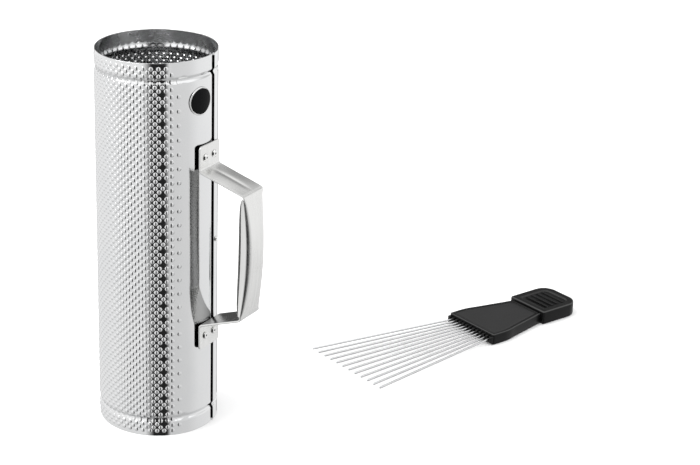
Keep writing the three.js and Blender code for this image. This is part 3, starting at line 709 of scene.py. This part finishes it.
def domed_tube():
    skin = Skin()
    low_out, high_out, arcs, radius_out = wall(skin, 1)
    low_in, high_in, _, radius_in = wall(skin, -1)
    rim(skin, high_out, high_in, arcs, radius_out, radius_in, TUBE_HEIGHT, 1)
    rim(skin, low_out, low_in, arcs, radius_out, radius_in, 0.0, -1)
    points, corners = np.concatenate(skin.points), np.concatenate(skin.faces)
    sizes = [len(face) for face in skin.faces]
    starts = np.cumsum([0, *sizes[:-1]])
    beside_dome = np.repeat(skin.on_ground, sizes)[:, None]
    ground, normals = np.concatenate(skin.ground)[corners], np.concatenate(skin.normals)[corners]
    lie = np.concatenate(skin.lie)[corners]
    # Corners move on by a whole turn where the unrolled map starts again inside a face
    wrap = ROUND * MM
    behind = np.repeat(np.maximum.reduceat(lie[:, 0], starts), sizes) - lie[:, 0]
    lie[(behind > wrap / 2) & (behind < 1.5 * wrap), 0] += wrap
    used, renumbered = np.unique(corners, return_inverse=True)
    make_piece(
        "domed_tube", points[used], np.split(renumbered, starts[1:]), polished_steel(),
        GUIRA, ["tube"], normals=np.where(beside_dome, ground, normals), uv=lie,
    )


# Strap handle

FOOT_MIDDLE = TUBE_RADIUS + SEAT_GAP + STRAP_THICKNESS / 2
FOOT_OUTER = FOOT_MIDDLE + STRAP_THICKNESS / 2
TOP_EDGE = TUBE_HEIGHT - HANDLE_BELOW_RIM
TOP_BEND = TOP_EDGE - FOOT_LENGTH_TOP
TOP_CORNER = TOP_BEND - ARM_DROP_TOP
BOTTOM_CORNER = TOP_CORNER - GRIP_LENGTH
BOTTOM_BEND = BOTTOM_CORNER - ARM_DROP_BOTTOM
BOTTOM_EDGE = BOTTOM_BEND - FOOT_LENGTH_BOTTOM
FOOT_STEPS = (0.0, 0.15, 0.4, 0.8, 1.4, 2.2, 3.0, 6.0, 12.0)
# The distance from a foot's end that stands for everything past the feet
FAR = 99


def quadratic(start, corner, end, count):
    """A curve between two points that sets out towards the corner and arrives from it."""
    start, corner, end = np.array([start, corner, end], float)
    t = np.linspace(0, 1, count)[:, None]
    return (1 - t) ** 2 * start + 2 * t * (1 - t) * corner + t**2 * end


def curve_through(before, corner, after, radius, count):
    """Points round a bend, from one straight stretch to the next."""
    back = (before - corner) / np.linalg.norm(before - corner)
    on = (after - corner) / np.linalg.norm(after - corner)
    reach = radius / math.tan(math.acos(np.clip(back @ on, -1, 1)) / 2)
    return quadratic(corner + back * reach, corner, corner + on * reach, count)


def side_view():
    """The strap seen from the side, as rows of (distance out, height, share down the grip or -1,
    share along the upper arm or -1, distance from a foot's end)."""
    top, root, upper, lower, under, end = np.array([
        (FOOT_MIDDLE, TOP_EDGE), (FOOT_MIDDLE, TOP_BEND), (GRIP_DISTANCE_TOP, TOP_CORNER),
        (GRIP_DISTANCE_BOTTOM, BOTTOM_CORNER), (FOOT_MIDDLE, BOTTOM_BEND), (FOOT_MIDDLE, BOTTOM_EDGE),
    ])
    bow = np.array((GRIP_BOW, 0)) * BOW_TANGENT
    root_top = curve_through(top, root, upper, FOOT_BEND, 8)
    corner_top = curve_through(root, upper, lower + bow, GRIP_BEND, 10)
    corner_low = curve_through(upper + bow, lower, under, GRIP_BEND, 10)
    root_low = curve_through(lower, under, end, FOOT_BEND, 8)
    rows = [(FOOT_MIDDLE, TOP_EDGE - step, -1, -1, step) for step in FOOT_STEPS]
    rows += bent(root_top) + straight(root_top[-1], corner_top[0]) + bent(corner_top)
    for share in np.linspace(0, 1, GRIP_ROWS)[1:-1]:
        x, z = corner_top[-1] + (corner_low[0] - corner_top[-1]) * share
        rows.append((x + GRIP_BOW * (1 - (2 * share - 1) ** 2), z, share, -1, FAR))
    lower_arm = bent(row[:2] for row in straight(corner_low[-1], root_low[0]))
    rows += bent(corner_low) + lower_arm + bent(root_low)
    rows += [(FOOT_MIDDLE, BOTTOM_EDGE + step, -1, -1, step) for step in FOOT_STEPS[::-1]]
    return rows


def bent(points):
    return [(x, z, -1, -1, FAR) for x, z in points]


def straight(start, end):
    shares = [k / (ARM_ROWS + 1) for k in range(1, ARM_ROWS + 1)]
    return [(*(start + (end - start) * share), -1, share, FAR) for share in shares]


def flange(grip):
    """Width of the folded edge and the strap's swell for it, at a share down the grip."""
    bulge = math.sqrt(max(0.0, 1 - (2 * grip - 1) ** 2)) if grip >= 0 else 0.0
    return FLANGE_START + (FLANGE_WIDTH - FLANGE_START) * bulge, FLANGE_SWELL * bulge


# The folded edge in section, as (share across it, fold in degrees): a long easy bend, a flat
# stretch, and a lip that opens again at its free edge
FLANGE_FOLDS = (
    (0.0, 0), (0.02, 22), (0.05, 42), (0.12, 46), (0.2, 50), (0.28, 54), (0.35, 58), (0.39, 68),
    (0.43, 77), (0.6, 77), (0.81, 77), (0.84, 66), (0.87, 55), (0.93, 51), (1.0, 47),
)
FLAT_STEPS = (0.0, 0.06, 0.12, 0.2, 0.32, 0.5, 0.75, 0.92)


def half_section(grip, from_end):
    """From the strap's middle to its edge: (distance across, distance in)."""
    width, swell = flange(grip)
    rest = max(0.0, FOOT_CORNER - from_end)
    line = STRAP_WIDTH / 2 - FOOT_CORNER + math.sqrt(FOOT_CORNER**2 - rest**2) + swell - width
    rows = [(line * share, 0.0) for share in FLAT_STEPS] + [(line, 0.0)]
    across, inward = line, 0.0
    for (last, before), (share, fold) in zip(FLANGE_FOLDS, FLANGE_FOLDS[1:]):
        angle = math.radians((before + fold) / 2) if grip >= 0 else 0.0
        across += (share - last) * width * math.cos(angle)
        inward += (share - last) * width * math.sin(angle)
        rows.append((across, inward))
    return rows


def strap_surface():
    """The strap's mid surface as rows of points across it, one for each station."""
    grid = []
    for x, z, grip, arm, from_end in side_view():
        half = half_section(grip, from_end)
        section = [(-across, inward) for across, inward in half[:0:-1]] + half
        across, inward = np.array(section).T
        dent = crease(arm, across)
        out, up = x - inward - dent * ARM_FACE[0], z - dent * ARM_FACE[1]
        grid.append(np.stack(np.broadcast_arrays(out, across, up), -1))
    return np.array(grid)


def crease(arm, flat):
    """How far the upper arm dips: a crowned, bowed face with a pressed groove along its middle."""
    if arm < 0:
        return 0.0
    fade = math.sin(math.pi * arm)
    groove = CREASE_DEPTH * np.exp(-((flat / CREASE_WIDTH) ** 2)) * fade**0.7
    crown = ARM_CROWN * (flat / (STRAP_WIDTH / 2)) ** 2 * fade
    return groove + crown - ARM_BOW * 4 * arm * (1 - arm)


def stacked(rings):
    """A closed solid from rings of points, one beyond another."""
    rings = np.asarray(rings, float)
    index = np.arange(rings.shape[0] * rings.shape[1]).reshape(rings.shape[:2])
    after = np.roll(index, -1, axis=1)
    sides = np.stack([index[:-1], after[:-1], after[1:], index[1:]], -1).reshape(-1, 4)
    return rings.reshape(-1, 3), [*sides.tolist(), index[0][::-1].tolist(), index[-1].tolist()]


def running_length(line):
    return np.insert(np.cumsum(np.linalg.norm(np.diff(line, axis=0), axis=1)), 0, 0)


def strap_handle():
    middle = strap_surface()
    along, across = np.gradient(middle, axis=0), np.gradient(middle, axis=1)
    normal = np.cross(across, along)
    normal *= STRAP_THICKNESS / 2 / np.linalg.norm(normal, axis=-1, keepdims=True)
    across *= STRAP_EDGE / np.linalg.norm(across, axis=-1, keepdims=True)
    right, left = (middle + across)[:, -1:], (middle - across)[:, :1]
    lip_right, lip_left = normal[:, -1:] / 2, normal[:, :1] / 2
    section = np.concatenate([
        middle - normal, right - lip_right, right + lip_right,
        (middle + normal)[:, ::-1], left + lip_left, left - lip_left,
    ], axis=1)
    last = middle.shape[1] - 1
    core = middle[:, [*range(last + 1), last, last, *range(last, -1, -1), 0, 0]]
    caps = [
        section[row] + (core[row] - section[row]) * CAP_SHARE + (0, 0, away)
        for row, away in ((0, STRAP_EDGE), (-1, -STRAP_EDGE))
    ]
    section = np.stack([caps[0], *section, caps[1]])
    points, faces = stacked(section)
    length, width = running_length(section.mean(axis=1)), running_length(section[len(section) // 2])
    width -= width[last + 2]
    inner_width = width[2 * last + 3] * MM
    lie = np.stack(np.meshgrid(length, width, indexing="ij"), -1).reshape(-1, 2) * MM
    make_piece(
        "strap_grip", points, faces, satin_steel(inner_width), GUIRA,
        ["strap_handle"], sharp=60, uv=lie[np.concatenate(faces)],
    )


# Turned pieces


def lathe(outline, count):
    """Turns an outline of (radius, height) round the local Y axis. Points on the axis are shared."""
    points, rows, faces = [], [], []
    turns = [2 * math.pi * k / count for k in range(count)]
    for radius, height in outline:
        apart = 1 if radius > 0 else 0
        rows.append([len(points) + k * apart for k in range(count)])
        around = turns if apart else turns[:1]
        points += [(radius * math.cos(a), height, radius * math.sin(a)) for a in around]
    for first, second in zip(rows, rows[1:]):
        for k in range(count):
            after = (k + 1) % count
            corners = list(dict.fromkeys((first[k], second[k], second[after], first[after])))
            if len(corners) > 2:
                faces.append(corners)
    return np.array(points), faces


def on_wall(points, seat, angle, across, height):
    """Sets a piece turned round Y on the wall: its axis points out from the tube."""
    x, y, z = points.T
    return turned(np.stack([seat + y, across - x, z + height], -1), angle)


def rivet_outline(rivet, grip_length):
    head, height, shank, bore, bulb = rivet.values()
    tail = -grip_length - BULB_LENGTH
    hole = bore * HOLE_SHARE
    low, high = 0.12, height * 0.86
    cone = [(head * (1 - HEAD_CONE * t), low + (high - low) * t) for t in (0, 0.1, 0.5, 0.9, 1)]
    return [
        (bore, tail), (bulb * 0.8, tail), (bulb * 0.97, tail + BULB_LENGTH * 0.2),
        (bulb, tail + BULB_LENGTH * 0.5), (bulb * 0.95, tail + BULB_LENGTH * 0.8),
        (shank, -grip_length), (shank, 0.0), (head - 0.15, 0.0), *cone,
        (head * 0.76, height * 0.96), (head * 0.69, height), (hole + 0.5, height),
        (hole + 0.12, height - 0.04), (hole, height - 0.2), (hole, height - 0.45),
        (bore, height - 0.75), (bore, tail),
    ]


def mandrel_outline(rivet, grip_length):
    _, height, _, bore, bulb = rivet.values()
    stem, nib = bore - 0.02, bore * HOLE_SHARE - 0.02
    tail = -grip_length - BULB_LENGTH - SEAT_GAP
    head, top = bulb * 0.75, height - MANDREL_SINK
    return [
        (0.0, tail - MANDREL_HEAD), (head * 0.6, tail - MANDREL_HEAD),
        (head, tail - MANDREL_HEAD * 0.5), (head, tail), (stem, tail), (stem, height - 0.8),
        (nib, height - 0.5), (nib, top - 0.05), (nib * 0.5, top + 0.02), (0.0, top - 0.06),
    ]


def rivets():
    steel, dark = fine_surface("rivet_steel"), fine_surface("dark_steel")
    half = RIVET_SPACING / 2
    middles = (("top", (TOP_EDGE + TOP_BEND) / 2), ("bottom", (BOTTOM_EDGE + BOTTOM_BEND) / 2))
    seam = LAP_ANGLE + math.degrees(LAP_WIDTH / 2 / TUBE_RADIUS)
    over_foot, over_sheet = FOOT_OUTER + SEAT_GAP, TUBE_RADIUS + SHEET + SEAT_GAP
    places = [
        (f"{end}_{side}", FOOT_RIVET, 0, across, height, over_foot)
        for end, height in middles
        for side, across in (("front", -half), ("rear", half))
    ]
    places.append(("seam", SEAM_RIVET, seam, 0, SEAM_RIVET_HEIGHT, over_sheet))
    for name, rivet, angle, across, height, seat in places:
        inside = math.sqrt((TUBE_RADIUS - SHEET) ** 2 - (abs(across) + rivet["bulb"]) ** 2)
        grip_length = seat - inside + SEAT_GAP
        for kind, outline, count, material, slot, node in (
            ("rivet_head", rivet_outline, 32, steel, "rivet_steel", "rivet"),
            ("mandrel_stub", mandrel_outline, 20, dark, "dark_steel", "mandrel"),
        ):
            points, faces = lathe(outline(rivet, grip_length), count)
            placed = on_wall(points, seat, angle, across, height)
            make_piece(f"{kind}_{name}", placed, faces, material, GUIRA, [f"{node}_{name}"])


def bent_on_wall(points, seat, angle, height):
    """Bends a flat turned disc round the tube and sets it there."""
    x, y, z = points.T
    radius, along = seat + y, -x / seat
    return turned(np.stack([radius * np.cos(along), radius * np.sin(along), z + height], -1), angle)


def badge():
    seat = TUBE_RADIUS + SEAT_GAP
    height = TUBE_HEIGHT - BADGE_BELOW_RIM
    inner = BADGE_RADIUS - BADGE_RIM
    edge, floor = BADGE_THICKNESS, BADGE_THICKNESS - BADGE_RECESS
    rim_line = [
        (0.0, 0.0), (4.7, 0.0), (9.4, 0.0), (BADGE_RADIUS, 0.0), (BADGE_RADIUS, edge * 0.6),
        (BADGE_RADIUS - 0.15, edge * 0.86), (BADGE_RADIUS - 0.45, edge), (inner + 0.25, edge),
        (inner + 0.05, edge - 0.15), (inner, floor), (8.4, floor), (4.2, floor), (0.0, floor),
    ]
    radius, low = inner - SEAT_GAP, floor + SEAT_GAP
    shares = (0.94, 0.85, 0.7, 0.5, 0.3, 0.12)
    crown = [(radius * share, edge + BADGE_CROWN * (1 - share**2)) for share in shares]
    face_line = [
        (0.0, low), (radius * 0.5, low), (radius, low), (radius, edge - 0.15),
        (radius - 0.12, edge), *crown, (0.0, edge + BADGE_CROWN),
    ]
    for name, line, surface, slot, node in (
        ("badge_ring", rim_line, "badge_steel", "badge_rim", "badge_plate"),
        ("badge_dome", face_line, "black_enamel", "black_enamel", "badge_face"),
    ):
        points, faces = lathe(line, BADGE_SIDES)
        placed = bent_on_wall(points, seat, BADGE_ANGLE, height)
        make_piece(name, placed, faces, fine_surface(surface), GUIRA, [node])


# Scraper


def handle_plan(inset):
    """Outline of the flat handle in plan, drawn in by inset, with as many points for any inset."""
    front, neck = FRONT_WIDTH / 2 - inset, NECK_WIDTH / 2 - inset
    corner, end = FRONT_CORNER, BODY_LENGTH - inset
    narrowed = front - (front - neck) * SHOULDER_TAPER
    start, stop = (SHOULDER - SHOULDER_BEFORE, -front), (SHOULDER + SHOULDER_AFTER, -narrowed)
    lower = np.array([
        *quadratic((inset, -front + corner), (inset, -front), (inset + corner, -front), 7),
        *np.linspace((inset + corner, -front), start, 4)[1:-1],
        *quadratic(start, (SHOULDER, -front), stop, 12),
        *np.linspace(stop, (end, -neck), 8)[1:],
    ])
    upper = lower[::-1] * (1, -1)
    side = np.linspace((end, -neck), (end, neck), 8)[1:-1]
    front_side = np.linspace((inset, front - corner), (inset, -front + corner), 12)[1:-1]
    return np.concatenate([lower, side, upper, front_side])


def butt_plan(inset):
    start, end = BODY_LENGTH + SEAT_GAP + inset, BODY_LENGTH + BUTT_LENGTH - inset
    half = BUTT_WIDTH / 2 - inset
    small = max(BUTT_FRONT_CORNER - inset * 0.5, 0.6)
    large = max(BUTT_CORNER - inset, 1.0)

    def corner(x, y, radius, first, count):
        angles = np.radians(np.linspace(first, first + 90, count))
        return np.stack([x + radius * np.cos(angles), y + radius * np.sin(angles)], -1)

    return np.concatenate([
        corner(start + small, -half + small, small, 180, 6),
        corner(end - large, -half + large, large, 270, 16),
        corner(end - large, half - large, large, 0, 16),
        corner(start + small, half - small, small, 90, 6),
    ])


def loft(plan, levels):
    """A closed solid from an outline drawn in by each level's inset, at each level's height."""
    return stacked([np.insert(plan(inset), 2, z, axis=1) for inset, z in levels])


def soft_box(x0, x1, y0, y1, z0, z1, bevel):
    """A box with chamfered edges."""
    def ring(inset, z):
        cut = bevel * 0.6
        left, right, near, far = x0 + inset, x1 - inset, y0 + inset, y1 - inset
        return [
            (left + cut, near, z), (right - cut, near, z), (right, near + cut, z),
            (right, far - cut, z), (right - cut, far, z), (left + cut, far, z),
            (left, far - cut, z), (left, near + cut, z),
        ]

    chamfer = ((bevel, 0), (bevel * 0.3, bevel * 0.3), (0, bevel))
    bottom = [ring(inset, z0 + rise) for inset, rise in chamfer]
    return stacked(bottom + [ring(inset, z1 - rise) for inset, rise in chamfer[::-1]])


def together(parts):
    points, faces, start = [], [], 0
    for part_points, part_faces in parts:
        points.append(part_points)
        faces += [[i + start for i in face] for face in part_faces]
        start += len(part_points)
    return np.concatenate(points), faces


TINE_SHARES = np.linspace(-1, 1, TINE_COUNT)
TINE_HEIGHT = BODY_THICKNESS / 2


def comb_teeth():
    """Teeth between the tines along the handle's front edge."""
    roots = TINE_SHARES * ROOT_SPREAD / 2
    outside = ROOT_SPREAD / 2 + SLOT_WIDTH + COMB_MARGIN
    starts, ends = [-outside, *(roots + SLOT_WIDTH / 2)], [*(roots - SLOT_WIDTH / 2), outside]
    low, high = TINE_HEIGHT - COMB_HEIGHT / 2, TINE_HEIGHT + COMB_HEIGHT / 2
    x = -COMB_LENGTH, COMB_ROOT
    return [soft_box(*x, a, b, low, high, COMB_BEVEL) for a, b in zip(starts, ends)]


def rounded(low, high, top):
    """Levels of the quarter rounds at the lower and the upper edge."""
    turns = [(1 - math.cos(a), 1 - math.sin(a)) for a in np.linspace(0, math.pi / 2, 5)]
    lower = [(low * inset, low * rise) for inset, rise in turns[::-1]]
    return lower + [(high * inset, top - high * rise) for inset, rise in turns]


def scraper_part(name, plastic, parts, node):
    points, faces = together(parts)
    make_piece(name, points, faces, plastic, SCRAPER, [node], sharp=35)


def scraper_handle(plastic):
    top, border = BODY_THICKNESS, COVER_BORDER
    recess = top - COVER_THICKNESS - COVER_SINK - SEAT_GAP
    levels = [
        *rounded(*HANDLE_ROUND, top), (border - 0.5, top), (border - 0.15, top - 0.15),
        (border, top - 0.5), (border + 0.05, recess), (border + COVER_GROOVE + 2, recess),
    ]
    parts = [loft(handle_plan, levels), *comb_teeth()]
    scraper_part("scraper_handle", plastic, parts, "scraper_body")


def scraper_panel(plastic):
    low = BODY_THICKNESS - COVER_THICKNESS - COVER_SINK
    high = low + COVER_THICKNESS
    start = COVER_BORDER + COVER_GROOVE
    levels = [
        (start, low), (start, high - 0.5), (start + 0.15, high - 0.15), (start + 0.5, high),
        (start + 3, high),
    ]
    scraper_part("scraper_panel", plastic, [loft(handle_plan, levels)], "scraper_cover")


def scraper_butt(plastic):
    top, floor, border = BUTT_THICKNESS, BUTT_THICKNESS - PANEL_DEPTH, PANEL_BORDER
    levels = [
        *rounded(*BUTT_ROUND, top), (border - 0.6, top), (border - 0.15, top - 0.15),
        (border + 0.1, top - 0.6), (border + 0.3, floor + 0.3), (border + 0.7, floor),
    ]
    start, end = BODY_LENGTH + SEAT_GAP + border, BODY_LENGTH + BUTT_LENGTH - border
    half = BUTT_WIDTH / 2 - border - BUTT_FRONT_CORNER
    width, heights = RIB_WIDTH / 2, (floor - RIB_ROOT, top - PANEL_DEPTH * RIB_SINK)
    parts = [loft(butt_plan, levels)]
    for k in range(1, RIB_COUNT + 1):
        middle = start + k * (end - start) / (RIB_COUNT + 1)
        parts.append(soft_box(middle - width, middle + width, -half, half, *heights, RIB_BEVEL))
    scraper_part("scraper_end", plastic, parts, "scraper_butt")


def tines():
    steel = tine_steel()
    for number, share in enumerate(TINE_SHARES, 1):
        across = share * (ROOT_SPREAD - TIP_SPREAD) / 2
        angle, length = math.atan2(across, TINE_FREE), math.hypot(across, TINE_FREE) + TINE_SEAT
        radius = TINE_RADIUS
        end_angles = np.radians((0, 25, 50, 70, 90))
        end = [(radius * math.sin(a), radius * (1 - math.cos(a))) for a in end_angles]
        shaft = [(radius, y) for y in np.linspace(radius, length - 0.2, 12)[1:]]
        outline = [*end, *shaft, (radius - 0.2, length), (0.0, length)]
        points, faces = lathe(outline, 20)
        x, y, z = points.T
        lie = np.column_stack([y, np.arctan2(z, x) * radius]) * MM
        along = np.column_stack([y, -x, z])
        tip = (-TINE_FREE, share * TIP_SPREAD / 2, TINE_HEIGHT)
        placed = turned(along, math.degrees(angle)) + tip
        make_piece(
            f"steel_tine_{number:02d}", placed, faces, steel, SCRAPER,
            [f"tine_{number:02d}"], sharp=60, uv=lie[np.concatenate(faces)],
        )


# Stage


def camera():
    data = bpy.data.cameras.new("camera")
    data.sensor_width = SENSOR_WIDTH
    data.lens = FOCAL_PIXELS / FRAME_WIDTH * SENSOR_WIDTH
    data.shift_x = (FRAME_WIDTH / 2 - PRINCIPAL_X) / FRAME_WIDTH
    eye = put("camera", data)
    eye.location = AXIS + turned((CAMERA_DISTANCE, 0, CAMERA_HEIGHT), CAMERA_AZIMUTH)
    tilt = (90 - CAMERA_PITCH, 0, CAMERA_AZIMUTH + 90 - CAMERA_PAN)
    eye.rotation_euler = [math.radians(angle) for angle in tilt]
    bpy.context.scene.camera = eye


FLOOR_SIZE = 4.0
# The patch of floor inside the tube: its radius in metres, its sides, and its rise as a share of
# the radius
FLOOR_INSIDE = 0.0585
FLOOR_SIDES, FLOOR_RISE = 48, 0.004
WHITE = (0.93, 0.93, 0.93, 1)


def floor():
    """A plain white floor. Steel reflects the studio instead of it, but not down inside the tube."""
    material = new_material("floor", Roughness=0.9, Base_Color=WHITE, Specular_IOR_Level=0.0)[0]
    corners = [(x * FLOOR_SIZE, y * FLOOR_SIZE, 0) for x, y in ((-1, -1), (1, -1), (1, 1), (-1, 1))]
    turns = np.arange(FLOOR_SIDES) * 2 * math.pi / FLOOR_SIDES
    ring = [AXIS + np.array([math.cos(a), math.sin(a), FLOOR_RISE]) * FLOOR_INSIDE for a in turns]
    for name, outline, reflected in (("floor", corners, False), ("floor_inside", ring, True)):
        data = bpy.data.meshes.new(name)
        data.from_pydata([tuple(p) for p in outline], [], [tuple(range(len(outline)))])
        data.materials.append(material)
        piece = put(name, data)
        piece.visible_glossy = reflected


# The studio round the object, as brightness at an angle from the camera's own direction
STUDIO = (
    (-180, 0.10), (-170, 0.12), (-158, 0.95), (-100, 0.95), (-60, 0.92), (-25, 0.95),
    (20, 0.8), (31, 0.74), (60, 0.78), (85, 0.92), (155, 1.0), (169, 0.15), (180, 0.10),
)
# The heights where the sky takes over, and its brightness behind and above and the range between
SKY_HEIGHTS = (0.2, 0.4)
SKY_BEHIND, SKY_ABOVE = 0.28, 1.15
SKY_RANGE = (0.05, 0.6)
SKY_LEAN = 0.5
SOFT_LIGHT = 1.35
FLOOR_HEIGHTS = (-0.94, -0.28)
FLOOR_BRIGHTNESS = 0.5
# The dark gap between the two large softboxes: its sides as angles, and its ends as heights
GAP_LEFT, GAP_RIGHT = (-26, -10), (16, 23)
GAP_FOOT, GAP_TOP = (-0.975, -0.92), (0.5, 0.8)
GAP_BRIGHTNESS = 0.02


def studio():
    """Plain white to the eye and for soft light; in reflections, softboxes with dark gaps."""
    world = bpy.data.worlds.new("studio")
    bpy.context.scene.world = world
    world.use_nodes = True
    tree = world.node_tree
    away = add_node(tree, "TexCoord").outputs["Generated"]
    heading = (0, 0, -math.radians(CAMERA_AZIMUTH))
    facing = add_node(tree, "Mapping", Vector=away, Rotation=heading).outputs[0]
    ahead, aside, up = add_node(tree, "SeparateXYZ", facing).outputs
    turn = total(aside, ahead, "ARCTAN2")
    bands = add_node(tree, "ValToRGB", spread(turn, 0.0, 1.0, -math.pi, math.pi))
    stops = bands.color_ramp.elements
    while len(stops) < len(STUDIO):
        stops.new(0.5)
    for stop, (angle, light) in zip(stops, STUDIO):
        stop.position = (angle + 180) / 360
        stop.color = (light, light, light, 1)
    overhead = spread(total(up, times(ahead, SKY_LEAN)), 0.0, 1.0, *SKY_RANGE)
    sky = mixed(overhead, (SKY_BEHIND,) * 3, (SKY_ABOVE,) * 3)
    low = spread(up, 1.0, 0.0, *FLOOR_HEIGHTS)
    under = mixed(low, bands.outputs[0], (FLOOR_BRIGHTNESS,) * 3)
    light = mixed(spread(up, 0.0, 1.0, *SKY_HEIGHTS), under, sky)
    left, right = ([math.radians(angle) for angle in side] for side in (GAP_LEFT, GAP_RIGHT))
    gap = spread(turn, 0.0, 1.0, *left)
    for value, low_end, high_end, side in (
        (turn, 1.0, 0.0, right), (up, 0.0, 1.0, GAP_FOOT), (up, 1.0, 0.0, GAP_TOP),
    ):
        gap = times(gap, spread(value, low_end, high_end, *side))
    light = mixed(gap, light, (GAP_BRIGHTNESS,) * 3)
    path = add_node(tree, "LightPath")
    light = mixed(path.outputs["Is Diffuse Ray"], light, (SOFT_LIGHT,) * 3)
    light = mixed(path.outputs["Is Camera Ray"], light, (1, 1, 1))
    feed(tree.nodes["Background"].inputs[0], light)


SOFTBOX_POWER = 30
SOFTBOX_SIZE = 1.4
SOFTBOX_PLACE = (-0.9, -0.9, 1.9)
SOFTBOX_TILT = (30, -20, 0)


def softbox():
    """One large soft light above, on the left of the camera."""
    data = bpy.data.lights.new("softbox", "AREA")
    data.energy = SOFTBOX_POWER
    data.size = SOFTBOX_SIZE
    lamp = put("softbox", data)
    lamp.location = SOFTBOX_PLACE
    lamp.rotation_euler = [math.radians(angle) for angle in SOFTBOX_TILT]
    lamp.visible_camera = False


camera()
floor()
studio()
softbox()
bpy.context.scene.view_settings.view_transform = "Standard"

domed_tube()
strap_handle()
rivets()
badge()
plastic = black_plastic()
scraper_handle(plastic)
scraper_panel(panel_plastic())
scraper_butt(plastic)
tines()
